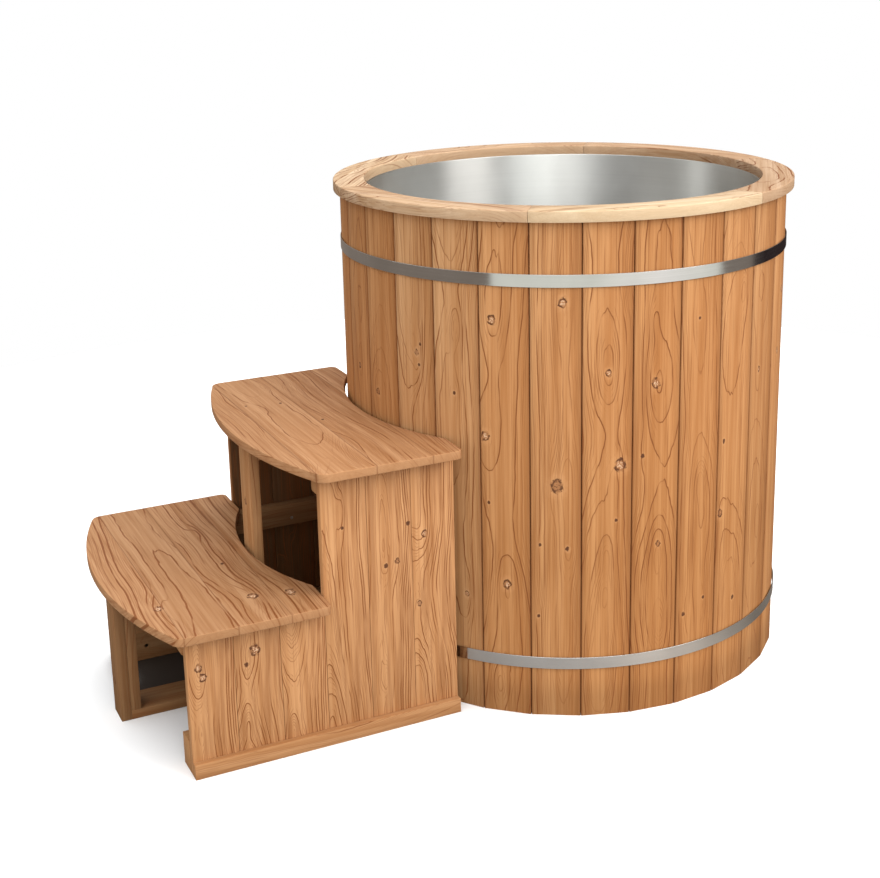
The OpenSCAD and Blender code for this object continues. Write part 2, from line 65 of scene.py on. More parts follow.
# The camera's place and how it is turned
CAMERA_PLACE = (-1.6089, -2.7968, 1.5317)
CAMERA_YAW = math.radians(25.66)
CAMERA_PITCH = math.radians(-14.93)
CAMERA_ROLL = math.radians(-1.12)

# Where the soft light is brightest, its strength away from there and there, and its colour
LIGHT_WAY = Vector((0.24, -0.36, 0.90)).normalized()
SKY_LOW = 0.20
SKY_HIGH = 2.40
SKY_COLOUR = (0.97, 0.98, 1.0, 1)

# The lamps: place, what it points at, size, watts, colour, and whether the steel mirrors it
LAMPS = {
    "key light": ((3.6, -5.4, 4.4), (0, 0, 0.4), 4.0, 170, (1.0, 0.98, 0.95), True),
    "front light": ((-1.2, -6.4, 3.2), (0, 0, 0.5), 3.0, 70, (0.97, 1.0, 0.98), True),
    "side light": ((-4.6, -0.4, 1.0), (-0.7, 0, 0.3), 2.0, 26, (1.0, 0.97, 0.93), False),
}

# The floor reaches as far as the camera sees it, and past it the steel mirrors the cards
FLOOR_RADIUS = 2.6
FLOOR_MIDDLE = (0.0, 0.4, 0.0)
FLOOR_PAINT = ((0.93, 0.93, 0.92, 1), (0.96, 0.96, 0.95, 1))
FLOOR_SHADE = (0.025, 0.016, 0.010, 1)

# Reflector cards round the tub, low and high: the angle about Z in degrees, and what the steel mirrors there
DARK, SHADED = (0.03, 0.02, 0.02), (0.26, 0.215, 0.185)
PLAIN, BRIGHT = (0.95, 0.95, 0.88), (1.20, 1.15, 1.12)
GREY, WHITE, GLARE = (0.51, 0.50, 0.485), (0.95, 0.95, 0.93), (2.50, 2.50, 2.45)
LOW_CARDS = (
    (-180, SHADED), (-156, SHADED), (-154, PLAIN), (-104, PLAIN), (-70, BRIGHT), (-36, PLAIN),
    (-32, SHADED), (-10, SHADED), (-7, DARK), (40, DARK), (60, SHADED), (180, SHADED),
)
HIGH_CARDS = (
    (-180, GREY), (-160, GREY), (-142, WHITE), (-132, GLARE), (-116, GLARE), (-104, WHITE),
    (-88, WHITE), (-74, GREY), (0, GREY), (40, DARK), (100, GREY), (138, GREY),
    (143, GLARE), (148, GLARE), (153, GREY), (180, GREY),
)

# What the floor throws back onto the tub, by the same angle
FLOOR_CARDS = (
    (-180, (0.27, 0.25, 0.23)), (-134, (0.28, 0.27, 0.26)), (-110, (0.34, 0.32, 0.30)),
    (-88, (0.43, 0.39, 0.35)), (-72, (0.36, 0.32, 0.28)), (-58, (0.24, 0.21, 0.18)),
    (-40, (0.12, 0.10, 0.08)), (180, (0.12, 0.10, 0.08)),
)

# Six rim boards, each over a set of five staves
SETS = 6
STAVES_PER_SET = 5
STAVES = SETS * STAVES_PER_SET
SEAM = math.radians(52.8)
PITCH = 2 * math.pi / STAVES

# Knots seen on the staves: height, place across the stave, radius and how far they push the grain, in
# millimetres; a radius of 0 is a knot that only bends the grain
STAVE_KNOTS = {
    10: [(674, -8, 5, 9)],
    11: [(638, -23, 6, 9), (300, 20, 0, 8)],
    12: [(747, 4, 5, 9), (722, 10, 3, 4), (765, 14, 3, 5), (380, -12, 0, 10)],
    13: [(817, 1, 0, 12), (676, -6, 3, 5), (250, 15, 5, 8)],
    14: [(833, -24, 8, 10), (596, -40, 8, 11), (457, -34, 3, 3), (284, 2, 8, 13), (62, -16, 0, 10)],
    15: [(871, 13, 8, 10), (500, 2, 12, 14), (375, -32, 3, 5), (367, 23, 4, 5), (221, -35, 3, 4)],
    16: [(729, 2, 6, 11), (540, 26, 11, 13), (347, 1, 0, 10), (269, 0, 0, 13), (425, 19, 3, 3)],
    17: [(701, -2, 9, 14), (830, -6, 0, 9), (554, -28, 4, 6), (364, 8, 5, 10), (185, 16, 0, 12)],
    18: [(477, 5, 0, 9), (222, 21, 3, 5), (197, -30, 4, 5), (820, -5, 3, 5)],
    19: [(397, -38, 7, 10), (551, -32, 4, 6), (194, 13, 4, 5), (858, 21, 0, 9)],
    20: [(676, -10, 5, 8), (330, 12, 0, 8)],
}

# How bright each visible stave is, and its share of the yellower wood
STAVE_TONES = {
    10: (1.02, 0.3), 11: (1.00, 0.3), 12: (1.15, 0.9), 13: (1.16, 0.8), 14: (1.15, 0.3), 15: (1.17, 0.4),
    16: (1.13, 0.2), 17: (1.03, 0.0), 18: (1.05, 0.1), 19: (1.06, 0.2), 20: (1.00, 0.3),
}

# Painted shade on the staves: how bright a stave is at its foot, and the darker colour painted over its lower
# half against its upper one
STAVE_PAINTED_SHADE = (0.80, (0.835, 0.805, 0.745, 1))

# How bright each rim board is, its share of the palest wood, and how strong its grain
RIM_LOOKS = (
    (0.95, 0.2, 0.8), (0.97, 0.6, 1.7), (0.98, 0.35, 1.4),
    (1.0, 1.0, 0.8), (0.86, 0.0, 0.8), (0.92, 0.1, 0.8),
)

# Knots on the boards of the near panel: height, place across the board, radius and push
PANEL_KNOTS = {
    "near_boards_low": [
        [(224, -24, 7, 8), (203, -16, 7, 8), (82, -24, 0, 5)],
        [(236, -5, 10, 9), (209, -24, 4, 5), (90, -25, 0, 7)],
        [(48, -30, 0, 6)],
    ],
    "near_boards_high": [
        [(490, -4, 0, 6), (449, -4, 3, 4)],
        [(352, -10, 4, 4), (357, 15, 5, 5), (110, -14, 0, 8), (432, 40, 4, 4)],
        [(404, -20, 6, 6), (256, -34, 5, 5)],
    ],
}

# Knots on the treads: place along the grain, place across it, radius and push
UPPER_TREAD_KNOTS = [(142, -100, 3, 3), (126, -28, 3, 3), (-25, 12, 3, 3), (260, -20, 0, 5)]
LOWER_TREAD_KNOTS = [
    (-196, -114, 9, 14), (-226, 66, 10, 12), (-243, 137, 11, 12), (139, 59, 0, 13), (-46, 60, 4, 5),
]

# How bright the front legs are, with painted shade for the lower tread's shade over them and over the middle
# foot rail; the skirtings; and the far rails, with painted shade for the steps' shade inside
FRONT_SHADE_TONE = 0.62
SKIRTING_TONE = 0.87
FAR_RAIL_SHADE_TONE = 0.55

# Depth of the far panel's inner face in millimetres, and how bright it is in the steps' shade
FAR_INNER_SHADE = (-18.0, 0.22)

# Millimetres to the nearest side of a board that has no darker edges, and how fast a glue line fades
FAR_EDGE = 1000.0
GLUE_SHARPNESS = 4.0

# Heights in millimetres over which the painted shade at a stave's foot, and the painted shade over its lower
# half, fade out
FOOT_SHADE_FADE = (35.0, 95.0)
LOW_SHADE_FADE = (750.0, 300.0)

# What multiplies the colour of sawn wood in its deep and in its pale bands
DEEP_BAND = (0.80, 0.71, 0.62, 1)
PALE_BAND = (1.16, 1.24, 1.36, 1)

# The colours of a knot's bark and of its pale specks
KNOT_BARK = (0.070, 0.024, 0.012, 1)
KNOT_SPECK = (0.78, 0.55, 0.36, 1)

# The drain's stave, and how its pipe and valve lie on the drain's axis, from the tub's own axis outwards
DRAIN_STAVE = 3
DRAIN_TURN = SEAM + (DRAIN_STAVE + 0.5) * PITCH
DRAIN_HEIGHT = (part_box("drain_fitting")[0].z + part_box("drain_fitting")[1].z) / 2
PIPE_RADIUS = 0.0165
BORE_RADIUS = 0.0125
PIPE_END = 0.518
BALL_PLACE = 0.546
VALVE_FACE = 0.572
DRILL_PLAY = 0.0005

# The hoops' lugs stand at the middle of the first stave
LUG_TURN = SEAM + PITCH / 2

# How far back a stave's face may lie
MOST_SINK = 0.0005

# Where along X the grain of the steps' rails is measured from
RAIL_GRAIN = -0.7

# Places closer than this are one place, and the play between faces that would touch
CLOSE = 0.001
HAIR = 0.0001


def length_property(name, description, default):
    """A length that the user may change."""
    return FloatProperty(
        name=name, description=description, default=default, unit="LENGTH", subtype="DISTANCE")


def colour_property(name, description, default):
    """A colour that the user may change."""
    return FloatVectorProperty(
        name=name, description=description, default=(*default, 1), size=4, subtype="COLOR")


class TubSizes(bpy.types.PropertyGroup):
    """Sizes of the tub that its finish needs"""

    stave_face: length_property(
        "Stave face", "Distance from the tub's axis to a stave's flat outer face", 0.482)
    stave_thickness: length_property("Stave thickness", "Thickness of a stave", 0.048)
    stave_gap: length_property("Stave gap", "Gap at the joint between two staves", 0.0014)
    stave_round: length_property("Stave rounding", "Rounding of the outer edges of a stave", 0.0020)
    groove_depth: length_property("Groove depth", "Depth of the groove that holds the floor", 0.010)
    rim_outer: length_property("Rim outside", "Outside radius of the rim", 0.498)
    rim_width: length_property("Rim width", "Width of the rim boards", 0.067)
    rim_round: length_property("Rim rounding", "Rounding of the rim's upper edges", 0.0025)
    rim_gap: length_property("Rim gap", "Gap at the joint between two rim boards", 0.0005)
    hoop_inner: length_property(
        "Hoop inside", "Inside radius of a hoop, which bears on the stave edges", 0.4847)
    hoop_thickness: length_property("Hoop thickness", "Thickness of a hoop", 0.0015)
    hoop_mouth: length_property("Hoop mouth", "Gap between the two ends of a hoop", 0.012)
    lug_reach: length_property("Lug reach", "How far the hoop's lugs stand out past the staves", 0.024)
    liner_radius: length_property("Liner radius", "Inside radius of the liner's wall", 0.429)
    liner_sheet: length_property("Liner sheet", "Thickness of the liner's sheet", 0.0015)
    liner_flange: length_property("Liner flange", "Outside radius of the liner's flange", 0.466)
    round_steps: IntProperty(
        name="Round steps", description="Steps round a full turn of the tub's round pieces", default=180)


class StepSizes(bpy.types.PropertyGroup):
    """Sizes of the step unit that its finish needs"""

    front_radius: length_property("Front radius", "Radius of the treads' curved front edge", 0.865)
    hollow_radius: length_property("Hollow radius", "Radius of the treads' hollow edge", 0.491)
    lower_hollow: length_property(
        "Lower hollow", "Distance from the tub's axis to the lower tread's hollow edge", 0.759)
    corner_radius: length_property("Corner radius", "Rounding of the treads' corners, seen from above", 0.020)
    tread_round: length_property("Tread rounding", "Rounding of the treads' edges", 0.0016)
    board_round: length_property("Board rounding", "Rounding of the edges of boards, legs and rails", 0.0010)
    rail_round: length_property("Rail rounding", "Rounding of the lower front end of the tread rails", 0.010)
    boards: IntProperty(name="Boards", description="Boards in each part of a side panel", default=3)


class TubColours(bpy.types.PropertyGroup):
    """Colours of the finishes, before their grain and wear"""

    stave: colour_property("Stave", "Wood of the staves", (0.443, 0.199, 0.070))
    honey: colour_property("Honey", "Wood of the yellowest staves", (0.443, 0.240, 0.108))
    rim: colour_property("Rim", "Wood of the rim", (0.505, 0.322, 0.188))
    pale: colour_property("Pale", "Wood of the palest rim board", (0.600, 0.440, 0.268))
    tread: colour_property("Tread", "Wood of the treads", (0.392, 0.198, 0.088))
    panel: colour_property("Panel", "Wood of the side panels", (0.466, 0.229, 0.094))
    frame: colour_property("Frame", "Wood of the legs and rails", (0.400, 0.205, 0.085))
    grain: colour_property("Grain", "Dark lines of the grain", (0.185, 0.058, 0.016))
    knot: colour_property("Knot", "Heart of a knot", (0.200, 0.070, 0.028))
    steel: colour_property("Steel", "Steel of the hoops and the liner", (0.620, 0.620, 0.600))
    brass: colour_property("Brass", "Brass of the drain and the valve", (0.560, 0.400, 0.160))
    rubber: colour_property("Rubber", "Rubber of the seals", (0.020, 0.020, 0.022))
    sleeve: colour_property("Sleeve", "Plastic sleeve of the drain lever", (0.400, 0.030, 0.025))


class Value:
    """What a node gives out; + - * and / on it add Math nodes."""

    def __init__(self, formula, socket):
        self.formula = formula
        self.socket = socket

    def __add__(self, other):
        return self.formula.math("ADD", self, other)

    def __sub__(self, other):
        return self.formula.math("SUBTRACT", self, other)

    def __rsub__(self, other):
        return self.formula.math("SUBTRACT", other, self)

    def __mul__(self, other):
        return self.formula.math("MULTIPLY", self, other)

    def __truediv__(self, other):
        return self.formula.math("DIVIDE", self, other)

    def __abs__(self):
        return self.formula.math("ABSOLUTE", self)


class Formula:
    """Adds nodes to a tree and links them, so that a finish reads like a formula."""

    def __init__(self, tree):
        self.tree = tree

    def node(self, kind, inputs=None, **settings):
        """A new node, with its settings and what goes into it."""
        made = self.tree.nodes.new(kind)
        for key, value in settings.items():
            setattr(made, key, value)
        for key, value in (inputs or {}).items():
            self.put(made.inputs[key], value)
        return made

    def put(self, socket, value):
        """Links a value to a socket, or sets the socket to a plain number, vector or colour."""
        if isinstance(value, Value):
            self.tree.links.new(value.socket, socket)
        else:
            socket.default_value = value

    def value(self, kind, inputs=None, output=0, **settings):
        """What a new node gives out."""
        return Value(self, self.node(kind, inputs, **settings).outputs[output])

    def math(self, operation, *values):
        return self.value("ShaderNodeMath", dict(enumerate(values)), operation=operation)

    def most(self, first, *others):
        """The largest of some values."""
        for other in others:
            first = self.math("MAXIMUM", first, other)
        return first

    def vector(self, operation, *values):
        output = "Value" if operation in ("LENGTH", "DOT_PRODUCT") else "Vector"
        return self.value("ShaderNodeVectorMath", dict(enumerate(values)), output, operation=operation)

    def join(self, x, y, z):
        return self.value("ShaderNodeCombineXYZ", {0: x, 1: y, 2: z})

    def split(self, vector):
        return [Value(self, socket) for socket in self.node("ShaderNodeSeparateXYZ", {0: vector}).outputs]

    def noise(self, place, stretch=None, scale=1.0, detail=2.0, rough=0.5):
        """Noise from 0 to 1, which a stretch scales along each axis."""
        if stretch:
            place = self.vector("MULTIPLY", place, stretch)
        inputs = {"Vector": place, "Scale": scale, "Detail": detail, "Roughness": rough}
        return self.value("ShaderNodeTexNoise", inputs, "Fac")

    def swing(self, noise, reach):
        """Noise of that reach about zero."""
        return (noise - 0.5) * reach

    def chance(self, seed):
        """A number from 0 to 1 that goes with a seed."""
        return self.value("ShaderNodeTexWhiteNoise", {"W": seed}, "Value", noise_dimensions="1D")

    def ease(self, value, start, end, low=0.0, high=1.0):
        """Goes smoothly from low to high as the value goes from start to end."""
        inputs = {"Value": value, "From Min": start, "From Max": end, "To Min": low, "To Max": high}
        return self.value("ShaderNodeMapRange", inputs, "Result", interpolation_type="SMOOTHSTEP")

    def blend(self, share, first, second, kind="MIX"):
        inputs = {0: share, 6: first, 7: second}
        return self.value("ShaderNodeMix", inputs, 2, data_type="RGBA", blend_type=kind)

    def tint(self, colour, by):
        """A colour multiplied by another."""
        return self.blend(1.0, colour, by, "MULTIPLY")

    def grey(self, value):
        return self.value("ShaderNodeCombineColor", {0: value, 1: value, 2: value})

    def place(self):
        """The object's own coordinates."""
        return self.value("ShaderNodeTexCoord", output="Object")


def node_group(name, inputs, outputs):
    """A new node group with those sockets, as its formula, what it is given and its result."""
    tree = bpy.data.node_groups.new(name, "ShaderNodeTree")
    for way, sockets in (("INPUT", inputs), ("OUTPUT", outputs)):
        for key, kind in sockets.items():
            tree.interface.new_socket(key, in_out=way, socket_type="NodeSocket" + kind)
    f = Formula(tree)
    given = {socket.name: Value(f, socket) for socket in tree.nodes.new("NodeGroupInput").outputs}
    return f, given, tree.nodes.new("NodeGroupOutput").inputs


def use_group(f, name, **inputs):
    """Puts a node group into a tree, and gives what comes out of it by name."""
    made = f.node("ShaderNodeGroup", inputs, node_tree=bpy.data.node_groups[name])
    return {socket.name: Value(f, socket) for socket in made.outputs}


def make_ring_group():
    """Growth rings: how many rings a point of the board lies from the pith, which drifts along the board."""
    f, given, result = node_group(
        "growth rings",
        {"Board": "Vector", "Pith": "Vector", "Lean": "Float", "Ring": "Float", "Seed": "Float"},
        {"Rings": "Float"})
    depth, across, along = f.split(given["Board"])
    pith_depth, pith_across, _ = f.split(given["Pith"])
    seed = given["Seed"]
    drift = f.noise(f.join(along * 0.0022, seed, 0.0), detail=1.0)
    dip = f.noise(f.join(seed, along * 0.0021, 3.0), detail=1.0)
    ripple = f.noise(f.join(across * 0.011, along * 0.0034, seed), detail=1.5, rough=0.4)
    shiver = f.noise(f.join(across * 0.10, along * 0.022, seed), detail=1.0)
    side = across - (pith_across + f.swing(drift, 60.0))
    below = pith_depth + along * given["Lean"] + depth + f.swing(dip, 90.0)
    reach = f.vector("LENGTH", f.join(side, below, 0.0)) + f.swing(ripple, 13.0) + f.swing(shiver, 2.2)
    count = reach / given["Ring"]
    uneven = f.noise(f.join(count, seed, 7.0), scale=0.8, detail=0.0)
    f.put(result["Rings"], count + f.swing(uneven, 0.9))


def make_knot_groups():
    """A knot's push on the rings round it, and its own heart, bark, specks and pale halo."""
    f, given, result = node_group(
        "knot push", {"Board": "Vector", "Knot": "Vector", "Reach": "Float", "Push": "Float"},
        {"Push": "Float"})
    away = f.vector("MULTIPLY", f.vector("SUBTRACT", given["Board"], given["Knot"]), (0, 1, 0.30))
    share = f.vector("LENGTH", away) / given["Reach"]
    f.put(result["Push"], f.math("EXPONENT", share * share * -1.0) * given["Push"])

    f, given, result = node_group(
        "knot face", {"Board": "Vector", "Knot": "Vector", "Radius": "Float"},
        {"Heart": "Float", "Bark": "Float", "Speck": "Float", "Halo": "Float"})
    board, radius = given["Board"], given["Radius"]
    away = f.vector("MULTIPLY", f.vector("SUBTRACT", board, given["Knot"]), (0, 1, 0.8))
    wobble = f.noise(board, (0, 0.16, 0.16))
    broken = f.noise(board, (0, 0.09, 0.09), detail=1.0)
    grit = f.noise(board, (0, 0.30, 0.30))
    kind = f.value("ShaderNodeTexWhiteNoise", {"Vector": given["Knot"]}, "Value", noise_dimensions="3D")
    size = f.vector("LENGTH", away) / radius + f.swing(wobble, 1.1)
    heart = f.ease(size, 1.10, 0.75)
    rim = f.ease(abs(size - 0.86), 0.34, 0.10) * f.ease(broken, 0.38, 0.56, 0.10, 1.0)
    flecks = heart * f.ease(grit, 0.50, 0.62, 0.0, 0.7) * f.ease(kind, 0.60, 0.40)
    dot = f.ease(size, 1.2, 0.5) * f.ease(radius, 5.0, 4.0)
    pale = f.ease(size, 0.70, 0.35) * f.ease(grit, 0.44, 0.56) * f.ease(kind, 0.40, 0.60)
    f.put(result["Heart"], heart)
    f.put(result["Bark"], f.most(rim, flecks, dot))
    f.put(result["Speck"], pale * f.ease(radius, 4.0, 6.0))
    f.put(result["Halo"], f.ease(size, 2.4, 1.0))


def make_wood_group():
    """Sawn wood: thin dark ring lines with a soft side, fibres, bands of tone, knots and darker edges."""
    numbers = ("Rings", "Rings across", "Rings along", "Seed", "Heart", "Bark", "Speck", "Halo",
               "Contrast", "Line", "Side", "Edge", "Shade", "Foot", "End")
    f, given, result = node_group(
        "sawn wood",
        {"Board": "Vector", **dict.fromkeys(numbers, "Float"),
         **dict.fromkeys(("Wood", "Grain", "Knot", "Low"), "Color")},
        {"Color": "Color", "Roughness": "Float", "Height": "Float"})
    board, rings, width, end = given["Board"], given["Rings"], given["Line"], given["End"]
    calm = f.math("MINIMUM", given["Contrast"], 1.0)

    # Rings to the millimetre, so that a ring's line keeps its width wherever it is cut
    steps = (given["Rings across"] - rings, given["Rings along"] - rings)
    slope = f.most(f.vector("LENGTH", f.join(*steps, 0.0)), 0.006)
    nearest = f.math("ROUND", rings)
    gap = (rings - nearest) / slope
    weight = f.ease(f.chance(nearest + given["Seed"]), 0.15, 0.90, 0.30, 1.15)
    weight = weight * f.ease(f.noise(board, (0.03, 0.05, 0.010), detail=1.0), 0.34, 0.58, 0.25, 1.0)
    line = f.ease(abs(gap), width, width * 0.25) * given["Contrast"] * 0.95
    soft_side = f.ease(gap, -9.0, -0.4) * f.math("LESS_THAN", gap, 0.0) * calm * 0.16
    mark = (line + soft_side) * weight * f.ease(slope, 0.11, 0.30, 1.0, 0.60)
    finer = rings * 3.0
    between = f.ease(abs(finer - f.math("ROUND", finer)) / (slope * 3.0), 1.3, 0.2)
    thin = f.ease(f.noise(board, (0.03, 0.09, 0.006), detail=1.0), 0.36, 0.64, 0.05, 0.48)
    mark = f.most(mark, between * thin * f.ease(slope, 0.02, 0.06) * calm)
    mark = mark * f.ease(end, 0.0, 1.0, 1.0, 0.25)
    streak = f.ease(f.noise(board, (0.2, 0.30, 0.0045), detail=1.0), 0.60, 0.74, 0.0, 0.42)
    mark = f.most(mark, streak * f.ease(end, 1.0, 0.0) * calm)

    # Bands of deeper and paler wood along the board, which the end grain hardly shows
    fibre = f.noise(board, (0.9, 0.9, 0.016), detail=3.0, rough=0.6)
    stripe = f.noise(board, (0.10, 0.13, 0.0020), detail=3.0, rough=0.55)
    band = f.noise(board, (0.02, 0.038, 0.0018))
    _, across, along = f.split(board)
    tone = f.ease(band, 0.34, 0.66) * 0.50 + f.ease(stripe, 0.32, 0.68) * 0.50
    tone = tone - f.ease(across + f.swing(band, 50.0), 0.0, 46.0) * given["Side"]
    tone = (tone - 0.5) * f.ease(end, 0.0, 1.0, 1.0, 0.3) + 0.5
    pale = f.tint(given["Wood"], PALE_BAND)
    colour = f.blend(tone, f.tint(given["Wood"], DEEP_BAND), pale)
    shade = (f.swing(fibre, 0.34) + 1.0) * given["Shade"]
    shade = shade * f.ease(given["Edge"], 2.0, 16.0, 0.86, 1.0)
    # Painted shade: darker at the foot of the board and over its lower half
    shade = shade * f.ease(along, *FOOT_SHADE_FADE, given["Foot"], 1.0)
    colour = f.tint(colour, f.grey(shade))
    colour = f.blend(f.ease(along, *LOW_SHADE_FADE), colour, given["Low"], "MULTIPLY")

    for share, over in (
            (given["Halo"] * 0.35, pale),
            (f.math("MINIMUM", mark, 0.92), given["Grain"]),
            (given["Heart"] * 0.45, given["Knot"]),
            (given["Speck"] * 0.60, KNOT_SPECK),
            (given["Bark"] * 0.88, KNOT_BARK),
            (f.ease(given["Edge"], 4.5, 1.0, 0.0, 0.60), given["Grain"])):
        colour = f.blend(share, colour, over)
    f.put(result["Color"], colour)
    f.put(result["Roughness"], fibre * 0.16 + mark * -0.08 + 0.50)
    f.put(result["Height"], fibre * 0.5 + mark * 0.6 - given["Bark"] * 0.8)


def new_material(name):
    """A material with only its output and the main shader, as its formula and that shader."""
    material = bpy.data.materials.new(name)
    material.use_nodes = True
    material.node_tree.nodes.clear()
    f = Formula(material.node_tree)
    shader = f.node("ShaderNodeBsdfPrincipled")
    f.node("ShaderNodeOutputMaterial", {"Surface": Value(f, shader.outputs[0])})
    return material, f, shader


def finish(f, shader, colour, roughness, height, strength, depth):
    """Gives a shader its colour and roughness, and bumps of that depth in metres."""
    bump = f.value("ShaderNodeBump", {"Height": height, "Strength": strength, "Distance": depth})
    for key, value in (("Base Color", colour), ("Roughness", roughness), ("Normal", bump)):
        f.put(shader.inputs[key], value)


def mixed(first, second, share):
    """The colour that lies that share of the way from the first to the second."""
    return tuple(a + share * (b - a) for a, b in zip(first, second))


def board_space(f, turn, origin, order):
    """Millimetres in a board's own frame: depth out of its face, across and along the grain."""
    place = f.value("ShaderNodeMapping", {
        "Vector": f.place(), "Rotation": (0, 0, -turn), "Scale": (1000, 1000, 1000),
        "Location": tuple(-1000 * c for c in origin)})
    axes = f.split(place)
    return f.join(*(axes["XYZ".index(letter)] for letter in order))


def wood(name, colour, seed, turn=0.0, origin=(0, 0, 0), order="XYZ", knots=(), pith=(42, 0), lean=0.0,
         ring=6.5, contrast=1.0, tone=1.0, line=1.7, side=0.0, half_width=None, lamella=None, back=None,
         ends=(1.0, (1, 1, 1, 1))):
    """Sawn wood for one board, or for one glued up from lamellas, with its own rings and knots."""
    colours = bpy.context.scene.tub_colours
    f, given, result = node_group("grain of " + name, {"Board": "Vector"}, {"Rings": "Float"})
    own_seed = seed
    if lamella:
        own_seed = f.math("FLOOR", f.split(given["Board"])[1] / lamella) * 13.7 + seed
    rings = use_group(f, "growth rings", Board=given["Board"], Pith=(*pith, 0), Lean=lean, Ring=ring,
                      Seed=own_seed)["Rings"]
    for height, across, radius, push in knots:
        rings = rings + use_group(f, "knot push", Board=given["Board"], Knot=(0, across, height),
                                  Reach=7 + 1.2 * radius + push * 0.5, Push=-push / ring * 1.2)["Push"]
    f.put(result["Rings"], rings)

    material, f, shader = new_material(name)
    board = board_space(f, turn, origin, order)
    samples = (board, f.vector("ADD", board, (0, 1, 0)), f.vector("ADD", board, (0, 0, 1)))
    here, across, along = (use_group(f, "grain of " + name, Board=at)["Rings"] for at in samples)
    face = dict.fromkeys(("Heart", "Bark", "Speck", "Halo"), 0.0)
    for height, offset, radius, _ in knots:
        if radius:
            made = use_group(f, "knot face", Board=board, Knot=(0, offset, height), Radius=radius)
            face = {key: f.most(made[key], face[key]) for key in face}
    depth, place, _ = f.split(board)
    edge, shade = FAR_EDGE, 1.0
    if half_width:
        edge = half_width - abs(place)
    if lamella:
        count = f.math("FLOOR", place / lamella)
        edge = (0.5 - abs(place / lamella - count - 0.5)) * (lamella * GLUE_SHARPNESS)
        shade = f.ease(f.chance(count + seed), 0.0, 1.0, 0.92, 1.08)
    # Painted shade: the far panel's inner face is darker deeper in from its outer face, for the steps' shade
    if back:
        shade = f.ease(depth, back[0], 0.0, back[1], 1.0)
    normal = f.split(f.value("ShaderNodeNewGeometry", output="Normal"))["XYZ".index(order[2])]
    inputs = {
        "Board": board, "Rings": here, "Rings across": across, "Rings along": along, "Seed": seed,
        "Contrast": contrast, "Line": line, "Side": side, "Edge": edge, "Shade": shade, "Foot": ends[0],
        "Low": ends[1], "End": f.ease(abs(normal), 0.35, 0.8), "Wood": (*(c * tone for c in colour[:3]), 1),
        "Grain": tuple(colours.grain), "Knot": tuple(colours.knot)}
    sawn = use_group(f, "sawn wood", **inputs, **face)
    finish(f, shader, sawn["Color"], sawn["Roughness"], sawn["Height"], 0.5, 0.0004)
    shader.inputs["Specular IOR Level"].default_value = 0.12
    return material


def metal(name, colour, roughness, streaks=(3, 3, 400), depth=0.25, turn=0.0, stretch=0.0):
    """Brushed metal: streaks that run the way the sheet was rolled, with faint smudges."""
    material, f, shader = new_material(name)
    place = f.value("ShaderNodeMapping", {"Vector": f.place(), "Rotation": (0, 0, -turn)})
    brushed = f.noise(place, streaks, detail=3.0, rough=0.6)
    smudge = f.noise(place, scale=9.0, detail=3.0)
    tone = f.swing(brushed, depth) + f.ease(smudge, 0.3, 0.7, 0.93, 1.03)
    rough = brushed * 0.12 + f.ease(smudge, 0.3, 0.75, roughness - 0.07, roughness + 0.03)
    finish(f, shader, f.tint(tuple(colour), f.grey(tone)), rough, brushed, 0.25, 0.0002)
    shader.inputs["Metallic"].default_value = 1.0
    if stretch:
        shader.inputs["Anisotropic"].default_value = stretch
        shader.inputs["Anisotropic Rotation"].default_value = 0.25
        f.put(shader.inputs["Tangent"], f.value("ShaderNodeTangent", direction_type="RADIAL", axis="Z"))
    return material


def moulded(name, colour, roughness, grain=900):
    """Moulded rubber or plastic: a fine skin with small changes of tone."""
    material, f, shader = new_material(name)
    skin = f.noise(f.place(), scale=grain)
    patch = f.noise(f.place(), scale=35.0)
    tone = f.grey(f.ease(patch, 0.3, 0.7, 0.85, 1.12))
    finish(f, shader, f.tint(tuple(colour), tone), skin * 0.15 + (roughness - 0.07), skin, 0.3, 0.0001)
    return material


def only_verts(geometry):
    return [item for item in geometry if isinstance(item, bmesh.types.BMVert)]


def turn_all(bm, angle, axis="Z"):
    """Turns everything about an axis through the origin."""
    bmesh.ops.rotate(bm, cent=(0, 0, 0), matrix=Matrix.Rotation(angle, 3, axis), verts=bm.verts[:])


def move_all(bm, step):
    bmesh.ops.translate(bm, vec=step, verts=bm.verts[:])


def face_outwards(bm):
    bmesh.ops.recalc_face_normals(bm, faces=bm.faces[:])


def round_edges(bm, edges, radius, segments=2):
    bmesh.ops.bevel(bm, geom=list(edges), offset=radius, offset_type="OFFSET", segments=segments, profile=0.5,
                    material=-1, affect="EDGES", clamp_overlap=True)


def middle(edge):
    return (edge.verts[0].co + edge.verts[1].co) / 2


def along_axis(edge, axis):
    """True if the edge runs along that axis, 0 to 2."""
    step = edge.verts[1].co - edge.verts[0].co
    return abs(step[axis]) > 0.999 * step.length


def sharp_edges(bm, angle=0.6):
    """The edges where two faces meet at more than that angle."""
    return [e for e in bm.edges if len(e.link_faces) == 2 and e.calc_face_angle(0.0) > angle]


def outline_face(bm, points):
    """A face through those points."""
    return bm.faces.new([bm.verts.new(p) for p in points])


def thicken(bm, faces, step):
    """Extrudes faces by a step and leaves a closed solid."""
    made = bmesh.ops.extrude_face_region(bm, geom=list(faces), use_keep_orig=True)
    bmesh.ops.translate(bm, vec=step, verts=only_verts(made["geom"]))


def box_between(bm, low, high):
    """A box between two corners."""
    low, high = Vector(low), Vector(high)
    verts = bmesh.ops.create_cube(bm, size=1.0)["verts"]
    bmesh.ops.scale(bm, vec=high - low, verts=verts)
    bmesh.ops.translate(bm, vec=(low + high) / 2, verts=verts)


